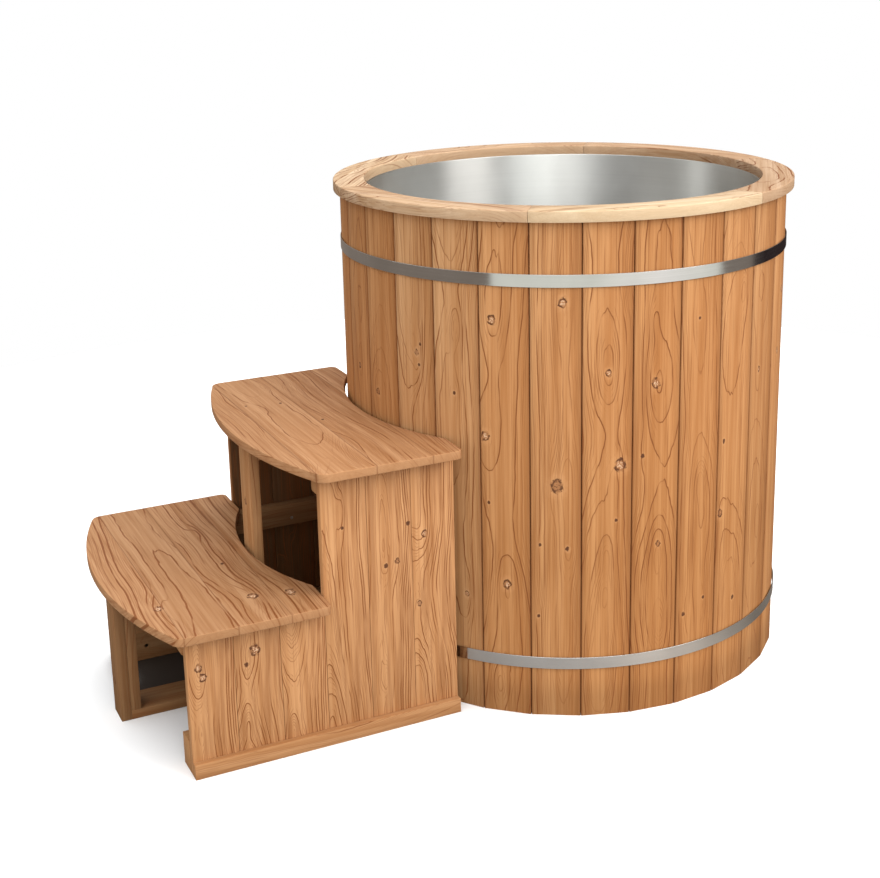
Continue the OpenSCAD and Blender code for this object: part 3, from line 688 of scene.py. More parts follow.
def turned(bm, outline, steps=64):
    """Spins an outline of places along X and radii a full turn round the X axis."""
    verts = [bm.verts.new((x, 0, r)) for x, r in outline]
    pairs = [(a, b) for a, b in zip(verts, verts[1:] + verts[:1]) if a.co.z or b.co.z]
    bmesh.ops.spin(bm, geom=verts + [bm.edges.new(pair) for pair in pairs], cent=(0, 0, 0), axis=(1, 0, 0),
                   angle=2 * math.pi, steps=steps, use_merge=True, use_duplicate=False)
    bmesh.ops.remove_doubles(bm, verts=bm.verts[:], dist=1e-6)


def hexagon(bm, flats, x0, x1, radius=0.0008):
    """A hexagonal bar along X by its width across flats, with eased edges."""
    corner = flats / math.sqrt(3)
    made = bmesh.ops.create_cone(
        bm, cap_ends=True, segments=6, radius1=corner, radius2=corner, depth=x1 - x0)["verts"]
    bmesh.ops.rotate(bm, cent=(0, 0, 0), matrix=Matrix.Rotation(math.pi / 2, 3, "Y"), verts=made)
    bmesh.ops.translate(bm, vec=((x0 + x1) / 2, 0, 0), verts=made)
    round_edges(bm, {e for v in made for e in v.link_edges}, radius)


def mesh_of(name, bm):
    """The mesh of what was modelled, which is then let go."""
    mesh = bpy.data.meshes.new(name)
    bm.to_mesh(mesh)
    bm.free()
    return mesh


def new_object(name, data):
    made = bpy.data.objects.new(name, data)
    bpy.context.scene.collection.objects.link(made)
    return made


def piece(name, bm, material, body, slot, *nodes, smooth=0.6):
    """Makes the finished piece, which rides on its body and stands for its nodes."""
    face_outwards(bm)
    if any(not e.is_manifold for e in bm.edges):
        raise RuntimeError(name + " isn't closed")
    mesh = mesh_of(name, bm)
    mesh.materials.append(material)
    mesh.shade_smooth()
    mesh.set_sharp_from_angle(angle=smooth)
    made = new_object(name, mesh)
    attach(made, body)
    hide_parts(*nodes)
    return made


def dress(node, material):
    """Gives a CAD node its material."""
    mesh = frame["nodes"][node].data
    mesh.materials.clear()
    mesh.materials.append(material)


def cut_out(target, bm):
    """Cuts what was modelled out of a finished piece."""
    mesh = mesh_of("cutter", bm)
    cutter = new_object("cutter", mesh)
    cut = target.modifiers.new("hole", "BOOLEAN")
    cut.operation = "DIFFERENCE"
    cut.object = cutter
    bpy.context.view_layer.objects.active = target
    bpy.ops.object.modifier_apply(modifier=cut.name)
    bpy.data.objects.remove(cutter)
    bpy.data.meshes.remove(mesh)


def round_bar(radius, x0, x1, steps=64):
    """A plain round bar along X."""
    bm = bmesh.new()
    turned(bm, [(x0, 0), (x0, radius), (x1, radius), (x1, 0)], steps)
    face_outwards(bm)
    return bm


def drill(target, radius, x0, x1):
    """Drills a round hole along the drain's axis through a finished piece."""
    bm = round_bar(radius, x0, x1)
    at_drain(bm)
    cut_out(target, bm)


def at_drain(bm, offset=0.0):
    """Takes what was modelled along X from the origin to the drain's axis."""
    move_all(bm, (offset, 0, 0))
    turn_all(bm, DRAIN_TURN)
    move_all(bm, (0, 0, DRAIN_HEIGHT))


def spare_knots(key, height, half_width):
    """Knots for a board that the photograph doesn't show."""
    source = random.Random(key)
    knots = []
    for _ in range(source.choice((1, 2, 2, 3))):
        radius = source.choice((0, 3, 4, 6, 8))
        knots.append((height * source.uniform(0.1, 0.95), half_width * source.uniform(-0.8, 0.8), radius,
                      4 + radius * 0.8 if radius else source.uniform(7, 12)))
    return knots


class TUB_OT_staves(bpy.types.Operator):
    """Models the thirty staves, each with its own grain and knots"""

    bl_idname = "tub.staves"
    bl_label = "Staves"

    def execute(self, context):
        sizes, colours = context.scene.tub_sizes, context.scene.tub_colours
        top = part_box("staves_1")[1].z
        groove_low, groove_high = (corner.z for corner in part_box("floor_board_3"))
        inner, outer = sizes.stave_face - sizes.stave_thickness, sizes.stave_face
        deep = inner + sizes.groove_depth
        taper = math.tan(PITCH / 2)
        profile = [(inner, 0), (outer, 0), (outer, top), (inner, top),
                   (inner, groove_high), (deep, groove_high), (deep, groove_low), (inner, groove_low)]
        for number in range(STAVES):
            source = random.Random(number)
            bm = bmesh.new()
            face = outline_face(bm, [(x, -1, z) for x, z in profile])
            thicken(bm, [face], (0, 2, 0))
            for vert in bm.verts:
                vert.co.y *= vert.co.x * taper - sizes.stave_gap / 2
            arrises = [e for e in bm.edges if along_axis(e, 2) and middle(e).x > outer - CLOSE]
            round_edges(bm, arrises, sizes.stave_round, 3)
            sink = source.uniform(0, MOST_SINK)
            outside = [v for v in bm.verts if v.co.x > (deep + outer) / 2]
            bmesh.ops.translate(bm, vec=(-sink, 0, 0), verts=outside)
            turn = SEAM + (number + 0.5) * PITCH
            turn_all(bm, turn)
            knots = STAVE_KNOTS.get(number) or spare_knots(number, 1000, 40)
            tone, honey = STAVE_TONES.get(number, (source.uniform(1.0, 1.12), source.uniform(0, 0.4)))
            look = wood(
                "stave_wood_%02d" % (number + 1), mixed(colours.stave, colours.honey, honey),
                number * 3.7 + 1, turn, (outer, 0, 0), knots=knots,
                pith=(source.uniform(25, 70), source.uniform(-20, 20)),
                lean=source.uniform(-0.03, 0.03), ring=source.uniform(8.0, 12.0), tone=tone,
                side=source.uniform(0.15, 0.75), ends=STAVE_PAINTED_SHADE, half_width=outer * taper * 1000)
            made = piece("stave_%02d" % (number + 1), bm, look, "tub", "stave_wood",
                         "staves_%d" % (number // STAVES_PER_SET + 1))
            if number == DRAIN_STAVE:
                drill(made, PIPE_RADIUS + DRILL_PLAY, inner - 0.01, outer + 0.01)
        return {"FINISHED"}


class TUB_OT_rim(bpy.types.Operator):
    """Models the six rim boards with rounded edges"""

    bl_idname = "tub.rim"
    bl_label = "Rim boards"

    def execute(self, context):
        sizes, colours = context.scene.tub_sizes, context.scene.tub_colours
        low, high = (corner.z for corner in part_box("rim_board_1"))
        outer, inner = sizes.rim_outer, sizes.rim_outer - sizes.rim_width
        span = 2 * math.pi / SETS
        trim = sizes.rim_gap / 2 / inner
        half_end = (outer - inner) * (high - low) / 2
        arris = 0.0006
        for number in range(SETS):
            source = random.Random(100 + number)
            start = SEAM + number * span + trim
            bm = bmesh.new()
            face = outline_face(bm, [(inner, 0, low), (outer, 0, low), (outer, 0, high), (inner, 0, high)])
            turn_all(bm, start)
            bmesh.ops.spin(bm, geom=[face] + face.edges[:] + face.verts[:], cent=(0, 0, 0), axis=(0, 0, 1),
                           angle=span - 2 * trim, steps=sizes.round_steps // SETS, use_duplicate=False)
            face_outwards(bm)
            ends = {e for f in bm.faces if abs(f.normal.z) < 0.1 and f.calc_area() > half_end
                    for e in f.edges}
            upper = [e for e in sharp_edges(bm, 1.0) if e not in ends and middle(e).z > (low + high) / 2]
            round_edges(bm, upper, sizes.rim_round, 4)
            round_edges(bm, sharp_edges(bm, 1.0), arris)
            tone, pale, contrast = RIM_LOOKS[number]
            look = wood(
                "rim_wood_%d" % (number + 1), mixed(colours.rim, colours.pale, pale), 60 + number * 5.3,
                start + span / 2, ((inner + outer) / 2, 0, high), "ZXY",
                knots=[(source.uniform(-200, 200), source.uniform(-20, 20), 0, 6)],
                pith=(source.uniform(60, 110), source.uniform(-60, 60)), lean=source.uniform(-0.02, 0.02),
                ring=source.uniform(5, 7), contrast=contrast, line=2.4, tone=tone)
            piece("rim_board_%d_rounded" % (number + 1), bm, look, "tub", "rim_wood",
                  "rim_board_%d" % (number + 1))
        return {"FINISHED"}


class TUB_OT_hoops(bpy.types.Operator):
    """Bends the two hoops round the staves and turns their ends out as lugs"""

    bl_idname = "tub.hoops"
    bl_label = "Hoops"

    def execute(self, context):
        sizes = context.scene.tub_sizes
        look = metal("hoop_steel", context.scene.tub_colours.steel, 0.11, depth=0.12)
        radius = sizes.hoop_inner + sizes.hoop_thickness
        half_mouth = math.asin(sizes.hoop_mouth / 2 / radius)
        reach = sizes.stave_face + sizes.lug_reach - radius
        bend, soft_edge = 0.002, 0.0004
        for name in ("upper_hoop", "lower_hoop"):
            low, high = (corner.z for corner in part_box(name))
            bm = bmesh.new()
            foot, head = bm.verts.new((radius, 0, low)), bm.verts.new((radius, 0, high))
            edge = bm.edges.new((foot, head))
            turn_all(bm, LUG_TURN + half_mouth)
            bmesh.ops.spin(bm, geom=[foot, head, edge], cent=(0, 0, 0), axis=(0, 0, 1),
                           angle=2 * math.pi - 2 * half_mouth, steps=sizes.round_steps, use_duplicate=False)
            ends = [e for e in bm.edges if e.is_boundary and along_axis(e, 2)]
            grown = bmesh.ops.extrude_edge_only(bm, edges=ends)["geom"]
            out = Vector((math.cos(LUG_TURN), math.sin(LUG_TURN), 0))
            bmesh.ops.translate(bm, vec=out * reach, verts=only_verts(grown))
            face_outwards(bm)
            round_edges(bm, sharp_edges(bm, 1.0), bend, 3)
            face_outwards(bm)
            if sum(f.normal.xy.dot(f.calc_center_median().xy) for f in bm.faces) < 0:
                bmesh.ops.reverse_faces(bm, faces=bm.faces[:])
            bmesh.ops.solidify(bm, geom=bm.faces[:], thickness=sizes.hoop_thickness)
            made = piece(name + "_band", bm, look, "tub", "hoop_steel", name)
            soft = made.modifiers.new("softened edges", "BEVEL")
            soft.width = soft_edge
            soft.segments = 2
            soft.limit_method = "ANGLE"
            soft.angle_limit = 0.9
        return {"FINISHED"}


class TUB_OT_hoop_fasteners(bpy.types.Operator):
    """Models the bolts and nuts that draw the hoops tight"""

    bl_idname = "tub.hoop_fasteners"
    bl_label = "Hoop bolts and nuts"

    def execute(self, context):
        sizes = context.scene.tub_sizes
        look = metal("fastener_steel", context.scene.tub_colours.steel, 0.35, (60, 60, 60), 0.15)
        flats, thickness, lug = 0.010, 0.0051, 0.0025
        shank, tip, chamfered_tip = 0.003, 0.0315, 0.0022
        face = sizes.hoop_mouth / 2 + lug
        outline = [(-face, 0), (-face, shank), (tip - 0.001, shank), (tip, chamfered_tip), (tip, 0)]
        bolts, nuts = bmesh.new(), bmesh.new()
        for hoop in ("upper_hoop", "lower_hoop"):
            low, high = (corner.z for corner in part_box(hoop))
            place = (sizes.stave_face + sizes.lug_reach * 0.6, 0, (low + high) / 2)
            for target in (bolts, nuts):
                bm = bmesh.new()
                if target is bolts:
                    turned(bm, outline, 24)
                    hexagon(bm, flats, -face - thickness, -face)
                else:
                    hexagon(bm, flats, face, face + thickness)
                turn_all(bm, math.pi / 2)
                move_all(bm, place)
                turn_all(bm, LUG_TURN)
                face_outwards(bm)
                mesh = mesh_of("fastener", bm)
                target.from_mesh(mesh)
                bpy.data.meshes.remove(mesh)
        piece("hoop_bolts_turned", bolts, look, "tub", "fastener_steel", "hoop_bolts")
        piece("hoop_nuts_turned", nuts, look, "tub", "fastener_steel", "hoop_nuts")
        return {"FINISHED"}


class TUB_OT_liner(bpy.types.Operator):
    """Spins the steel liner with its rounded foot and lip"""

    bl_idname = "tub.liner"
    bl_label = "Liner"

    def execute(self, context):
        sizes = context.scene.tub_sizes
        low, high = (corner.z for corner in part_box("liner"))
        half = (low + high) / 2
        wall = sizes.liner_radius + sizes.liner_sheet
        floor_ring, foot_round, lip_round, clear = 0.12, 0.015, 0.0012, 0.02
        bm = bmesh.new()
        path = [(0, low), (floor_ring, low), (wall, low), (wall, high), (sizes.liner_flange, high)]
        verts = [bm.verts.new((x, 0, z)) for x, z in path]
        edges = [bm.edges.new(pair) for pair in zip(verts, verts[1:])]
        bmesh.ops.spin(bm, geom=verts + edges, cent=(0, 0, 0), axis=(0, 0, 1), angle=2 * math.pi,
                       steps=sizes.round_steps, use_merge=True, use_duplicate=False)
        bmesh.ops.remove_doubles(bm, verts=bm.verts[:], dist=1e-6)
        face_outwards(bm)
        bends = sharp_edges(bm, 1.0)
        round_edges(bm, [e for e in bends if middle(e).z < half], foot_round, 6)
        round_edges(bm, [e for e in bends if e.is_valid and middle(e).z > half], lip_round, 3)
        if any(f.normal.z < -0.9 and f.calc_center_median().z < half for f in bm.faces):
            bmesh.ops.reverse_faces(bm, faces=bm.faces[:])
        bmesh.ops.solidify(bm, geom=bm.faces[:], thickness=-sizes.liner_sheet)
        look = metal("liner_steel", context.scene.tub_colours.steel, 0.36, (2, 2, 160), 0.12, stretch=0.85)
        made = piece("liner_sheet", bm, look, "tub", "liner_steel", "liner", smooth=0.7)
        drill(made, PIPE_RADIUS + DRILL_PLAY, sizes.liner_radius - clear, wall + clear)
        return {"FINISHED"}


class TUB_OT_floor(bpy.types.Operator):
    """Gives the floor boards, bearers and dowels their wood"""

    bl_idname = "tub.floor"
    bl_label = "Floor, bearers and dowels"

    def execute(self, context):
        colours = context.scene.tub_colours
        for number in range(1, 6):
            low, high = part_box("floor_board_%d" % number)
            dress("floor_board_%d" % number, wood(
                "floor_wood_%d" % number, colours.frame, 200 + number * 2.9,
                origin=((low.x + high.x) / 2, 0, low.z), order="ZXY",
                knots=spare_knots(200 + number, 300, 70), pith=(60, 10 * number - 30), ring=7))
        for number in range(1, 4):
            low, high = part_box("bearer_%d" % number)
            dress("bearer_%d" % number, wood(
                "bearer_wood_%d" % number, colours.frame, 230 + number * 4.1,
                origin=(0, (low.y + high.y) / 2, (low.z + high.z) / 2), order="YZX",
                knots=spare_knots(230 + number, 300, 30), pith=(50, 8), ring=6))
        dress("rim_dowels", wood("dowel_wood", colours.rim, 250, pith=(120, 90), ring=3, contrast=0.5))
        return {"FINISHED"}


class TUB_OT_drain(bpy.types.Operator):
    """Models the drain fitting with its locknut, and finishes its seals"""

    bl_idname = "tub.drain"
    bl_label = "Drain"

    def execute(self, context):
        sizes, colours = context.scene.tub_sizes, context.scene.tub_colours
        brass = metal("valve_brass", colours.brass, 0.32, (90, 90, 90), 0.12, DRAIN_TURN)
        seat = sizes.liner_radius - 0.003
        flange = 0.028
        bm = bmesh.new()
        turned(bm, [
            (seat, PIPE_RADIUS), (seat, flange), (seat - 0.0012, flange), (seat - 0.0026, 0.0264),
            (seat - 0.0030, 0.0245), (seat - 0.0030, 0.0165), (seat - 0.0022, 0.0130),
            (seat - 0.0010, BORE_RADIUS), (PIPE_END, BORE_RADIUS), (PIPE_END, PIPE_RADIUS - 0.0008),
            (PIPE_END - 0.0008, PIPE_RADIUS)], 72)
        at_drain(bm)
        piece("drain_flange", bm, brass, "tub", "valve_brass", "drain_fitting")
        flats, start, end, edge, clear = 0.046, 0.484, 0.496, 0.0012, 0.014
        bm = bmesh.new()
        hexagon(bm, flats, start, end, edge)
        at_drain(bm)
        made = piece("drain_locknut_hex", bm, brass, "tub", "valve_brass", "drain_locknut")
        drill(made, PIPE_RADIUS + HAIR, start - clear, end + clear)
        seal = moulded("seal_rubber", colours.rubber, 0.6)
        dress("drain_gasket", seal)
        dress("drain_washer", seal)
        return {"FINISHED"}


class TUB_OT_valve(bpy.types.Operator):
    """Models the ball valve's body and its threaded outlet"""

    bl_idname = "tub.valve"
    bl_label = "Ball valve"

    def execute(self, context):
        brass = bpy.data.materials["valve_brass"]
        start, face, end = 0.520, VALVE_FACE, 0.5960
        socket, collar, body, chamber = PIPE_RADIUS + HAIR, 0.021, 0.025, 0.0182
        floor = BALL_PLACE - 0.0134
        bm = bmesh.new()
        turned(bm, [
            (0.500, socket), (0.500, collar - 0.0010), (0.501, collar), (0.506, collar),
            (0.507, collar - 0.0012), (0.514, collar - 0.0012), (start, body - 0.0030),
            (start + 0.0040, body), (face - 0.0015, body), (face, body - 0.0015), (face, 0.0210),
            (0.564, 0.0210), (0.564, chamber), (floor, chamber), (floor, BORE_RADIUS),
            (PIPE_END + HAIR, BORE_RADIUS), (PIPE_END + HAIR, socket)], 72)
        at_drain(bm)
        piece("valve_casting", bm, brass, "tub", "valve_brass", "valve_body")

        neck = bmesh.new()
        foot, head, hole, outside = 0.0215, 0.0370, 0.0051, 0.0110
        turned(neck, [(foot, hole), (foot, outside), (head - 0.0015, outside), (head, outside - 0.0015),
                      (head, hole)], 48)
        turn_all(neck, -math.pi / 2, "Y")
        at_drain(neck, BALL_PLACE)
        piece("valve_neck", neck, brass, "tub", "valve_brass", "valve_body")

        bm = bmesh.new()
        flats, thickness, clear = 0.044, 0.0081, 0.012
        hexagon(bm, flats, face + HAIR, face + thickness)
        at_drain(bm)
        nut = piece("valve_end_hex", bm, brass, "tub", "valve_brass", "valve_end")
        drill(nut, BORE_RADIUS, face - clear, face + thickness + clear)

        bm = bmesh.new()
        root, threads, pitch = 0.0150, 6, 0.0023
        outline = [(face + thickness, BORE_RADIUS), (face + thickness, root)]
        for turn in range(threads):
            x = face + 0.0088 + turn * pitch
            outline += [(x, root + 0.0002), (x + 0.0011, PIPE_RADIUS), (x + 0.0013, PIPE_RADIUS)]
        turned(bm, outline + [(end, root), (end, BORE_RADIUS)], 72)
        at_drain(bm)
        piece("valve_outlet", bm, brass, "tub", "valve_brass", "valve_end")
        return {"FINISHED"}


class TUB_OT_valve_handle(bpy.types.Operator):
    """Models the valve's ball, stem, lever, sleeve and nut, which turn together"""

    bl_idname = "tub.valve_handle"
    bl_label = "Valve handle"

    def execute(self, context):
        colours = context.scene.tub_colours
        steel = metal("lever_steel", colours.steel, 0.30, (80, 80, 80), 0.15, DRAIN_TURN)
        plastic = moulded("sleeve_plastic", colours.sleeve, 0.42)

        def handle_part(name, bm, node, look=steel, slot="fastener_steel"):
            at_drain(bm, BALL_PLACE)
            return piece(name, bm, look, "drain_handle", slot, node)

        radius, bore_radius, clear = 0.018, 0.012, 0.03
        bm = bmesh.new()
        bmesh.ops.create_uvsphere(bm, u_segments=48, v_segments=32, radius=radius)
        ball = handle_part("valve_ball_bored", bm, "valve_ball")
        bore = round_bar(bore_radius, -clear, clear, 48)
        turn_all(bore, math.pi / 2)
        at_drain(bore, BALL_PLACE)
        cut_out(ball, bore)

        bm = bmesh.new()
        turned(bm, [(0.0150, 0), (0.0150, 0.0048), (0.0495, 0.0048), (0.0520, 0.0035), (0.0520, 0)], 32)
        turn_all(bm, -math.pi / 2, "Y")
        handle_part("valve_stem_turned", bm, "valve_stem")

        half, length, low, high = 0.008, 0.105, 0.040, 0.043
        corner, arris = half * 0.98, 0.0004
        bm = bmesh.new()
        box_between(bm, (-half, -half, low), (half, length, high))
        round_edges(bm, [e for e in bm.edges if along_axis(e, 2)], corner, 8)
        round_edges(bm, sharp_edges(bm, 1.0), arris)
        handle_part("valve_lever_plate", bm, "valve_lever")

        bm = bmesh.new()
        flats, thickness, edge = 0.014, 0.006, 0.0006
        hexagon(bm, flats, high, high + thickness, edge)
        turn_all(bm, -math.pi / 2, "Y")
        handle_part("lever_nut_hex", bm, "lever_nut")

        wall, tip_round, edge = 0.0025, 0.008, 0.0012
        near, far, width, half_height = length * 0.4, length + wall, half + wall, (high - low) / 2 + wall
        bm = bmesh.new()
        box_between(bm, (-width, near, low - wall), (width, far, high + wall))
        mouth = [f for f in bm.faces if f.calc_center_median().y < near + HAIR]
        bmesh.ops.inset_region(bm, faces=mouth, thickness=wall)
        pushed = bmesh.ops.extrude_face_region(bm, geom=mouth)["geom"]
        bmesh.ops.delete(bm, geom=mouth, context="FACES_ONLY")
        bmesh.ops.translate(bm, vec=(0, length - near, 0), verts=only_verts(pushed))
        round_edges(bm, [e for e in bm.edges if along_axis(e, 2) and middle(e).y > far - HAIR], tip_round, 6)
        outside = [e for e in sharp_edges(bm, 0.9) if abs(middle(e).x) > width - HAIR
                   or middle(e).y > length + HAIR
                   or abs(middle(e).z - (low + high) / 2) > half_height - HAIR]
        round_edges(bm, outside, edge, 3)
        handle_part("lever_sleeve_dipped", bm, "lever_sleeve", plastic, "sleeve_plastic")
        return {"FINISHED"}


def tread(name, node, look, hollow, cut, sizes):
    """A tread with its bowed front, hollow tub side and rounded corners."""
    low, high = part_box(node)
    front, half = -low.x, high.y
    bm = bmesh.new()

    def arc(radius, centre, spread, steps):
        start = bm.verts.new((centre - radius * math.cos(spread), radius * math.sin(spread), low.z))
        bmesh.ops.spin(bm, geom=[start], cent=(centre, 0, low.z), axis=(0, 0, 1), angle=2 * spread,
                       steps=steps, use_duplicate=False)

    arc(sizes.front_radius, sizes.front_radius - front, math.asin(half / sizes.front_radius), 48)
    back = sizes.hollow_radius - hollow
    arc(sizes.hollow_radius, back, math.acos((cut + back) / sizes.hollow_radius), 40)
    tips = sorted((v for v in bm.verts if len(v.link_edges) == 1), key=lambda v: (v.co.y, v.co.x))
    corners = [bm.verts.new((-cut, side * half, low.z)) for side in (-1, 1)]
    for tip, corner, inner in ((tips[0], corners[0], tips[1]), (tips[3], corners[1], tips[2])):
        bm.edges.new((tip, corner))
        bm.edges.new((corner, inner))
    bmesh.ops.contextual_create(bm, geom=bm.edges[:])
    thicken(bm, bm.faces[:], (0, 0, high.z - low.z))
    face_outwards(bm)
    round_edges(bm, [e for e in sharp_edges(bm, 0.5) if along_axis(e, 2) and abs(middle(e).y) > half - CLOSE],
                sizes.corner_radius, 8)
    round_edges(bm, [e for e in sharp_edges(bm, 1.0) if not along_axis(e, 2)], sizes.tread_round, 3)
    return piece(name, bm, look, "steps", "tread_wood", node)


class TUB_OT_treads(bpy.types.Operator):
    """Models the two treads"""

    bl_idname = "tub.treads"
    bl_label = "Treads"

    def execute(self, context):
        sizes, colours = context.scene.step_sizes, context.scene.tub_colours
        low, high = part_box("upper_tread")
        look = wood("upper_tread_wood", colours.tread, 31, 0, ((low.x + high.x) / 2, 0, high.z), "ZXY",
                    knots=UPPER_TREAD_KNOTS, pith=(110, -60), ring=6, contrast=0.85, lamella=118)
        tread("upper_tread_board", "upper_tread", look, sizes.hollow_radius, -high.x, sizes)
        low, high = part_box("lower_tread")
        look = wood("lower_tread_wood", colours.tread, 47, 0, ((low.x + high.x) / 2, 0, high.z), "ZXY",
                    knots=LOWER_TREAD_KNOTS, pith=(70, -40), lean=0.03, ring=11, contrast=2.0, line=2.4,
                    tone=0.95, lamella=105)
        tread("lower_tread_board", "lower_tread", look, sizes.lower_hollow, -high.x, sizes)
        return {"FINISHED"}


class TUB_OT_panels(bpy.types.Operator):
    """Models the upright boards of the two side panels"""

    bl_idname = "tub.panels"
    bl_label = "Panel boards"

    def execute(self, context):
        sizes, colours = context.scene.step_sizes, context.scene.tub_colours
        gap = 0.0005
        for node in ("near_boards_low", "near_boards_high", "far_boards_low", "far_boards_high"):
            low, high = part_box(node)
            width = (high.x - low.x + gap) / sizes.boards
            face = low.y if node.startswith("near") else high.y
            for number in range(sizes.boards):
                key = node + str(number)
                source = random.Random(key)
                start = low.x + number * width
                bm = bmesh.new()
                box_between(bm, (start, low.y, low.z), (start + width - gap, high.y, high.z))
                round_edges(bm, bm.edges, sizes.board_round)
                seen = PANEL_KNOTS.get(node)
                look = wood(
                    "%s_wood_%d" % (node, number + 1), colours.panel, source.uniform(0, 90), 0,
                    (start + width / 2, face, 0), "YXZ",
                    knots=seen[number] if seen else spare_knots(key, high.z * 1000, 35),
                    pith=(source.uniform(22, 38), source.uniform(-48, -18)), lean=source.uniform(-0.03, 0.03),
                    ring=source.uniform(4.2, 5.2), tone=source.uniform(0.95, 1.05), contrast=1.35, line=1.4,
                    back=None if seen else FAR_INNER_SHADE)
                piece("%s_%d" % (node, number + 1), bm, look, "steps", "panel_wood", node)
        return {"FINISHED"}


class TUB_OT_rails(bpy.types.Operator):
    """Models the skirtings and the rails inside the panels"""

    bl_idname = "tub.rails"
    bl_label = "Skirtings and rails"

    def execute(self, context):
        sizes, colours = context.scene.step_sizes, context.scene.tub_colours
        for side in ("near", "far"):
            for kind in ("skirting", "foot_rail", "low_rail", "high_rail"):
                node = side + "_" + kind
                low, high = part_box(node)
                bm = bmesh.new()
                box_between(bm, low, high)
                if kind in ("low_rail", "high_rail"):
                    nose = [e for e in bm.edges if along_axis(e, 1) and middle(e).x < low.x + CLOSE
                            and middle(e).z < low.z + CLOSE]
                    round_edges(bm, nose, sizes.rail_round, 5)
                round_edges(bm, sharp_edges(bm, 1.0), sizes.board_round)
                # Painted shade: the far rails are darker, inside the steps
                tone, colour, slot = FAR_RAIL_SHADE_TONE if side == "far" else 1.0, colours.frame, "frame_wood"
                if kind == "skirting":
                    tone, colour, slot = SKIRTING_TONE, colours.panel, "panel_wood"
                look = wood(node + "_wood", colour, random.Random(node).uniform(0, 90), 0,
                            (RAIL_GRAIN, low.y, (low.z + high.z) / 2), "YZX", pith=(70, 30), ring=5,
                            contrast=0.8, tone=tone)
                piece(node + "_bar", bm, look, "steps", slot, node)
        return {"FINISHED"}


class TUB_OT_middle_frame(bpy.types.Operator):
    """Models the legs and rails of the middle frame"""

    bl_idname = "tub.middle_frame"
    bl_label = "Middle frame"

    def execute(self, context):
        sizes, colours = context.scene.step_sizes, context.scene.tub_colours
        legs = ("front_leg_facing", "front_leg", "tall_leg", "rear_leg")
        for node in legs + ("middle_foot_rail", "middle_low_rail", "middle_high_rail"):
            low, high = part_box(node)
            bm = bmesh.new()
            box_between(bm, low, high)
            round_edges(bm, bm.edges, sizes.board_round)
            centre = (low.y + high.y) / 2
            origin, order, length = (RAIL_GRAIN, centre, high.z), "ZYX", 0.3
            if node in legs:
                origin, order, length = (low.x, centre, 0), "XYZ", high.z
            # Painted shade: the front legs and the middle foot rail are darker, under the lower tread
            tone = FRONT_SHADE_TONE if node.startswith("front") or node == "middle_foot_rail" else 1.0
            look = wood(node + "_wood", colours.frame, random.Random(node).uniform(0, 90), 0, origin, order,
                        knots=spare_knots(node, 1000 * length, 20), pith=(55, 12), ring=5, contrast=0.8,
                        tone=tone)
            piece(node + "_bar", bm, look, "steps", "frame_wood", node)
        return {"FINISHED"}


class TUB_OT_screws(bpy.types.Operator):
    """Finishes the screws of the treads and panels"""

    bl_idname = "tub.screws"
    bl_label = "Screws"

    def execute(self, context):
        look = metal("screw_steel", context.scene.tub_colours.steel, 0.4, (200, 200, 200), 0.2)
        dress("tread_screws", look)
        dress("panel_screws", look)
        return {"FINISHED"}


def ring_ramp(f, place, those):
    """A colour ramp over the angle about Z, from angles in degrees and their colours."""
    round_about = f.value("ShaderNodeTexGradient", {"Vector": place}, "Fac", gradient_type="RADIAL")
    made = f.node("ShaderNodeValToRGB", {"Fac": round_about})
    stops = made.color_ramp.elements
    for index, (angle, colour) in enumerate(those):
        stop = stops[index] if index < 2 else stops.new(1.0)
        stop.position = (angle + 180) / 360
        stop.color = (*colour, 1)
    return Value(f, made.outputs["Color"])


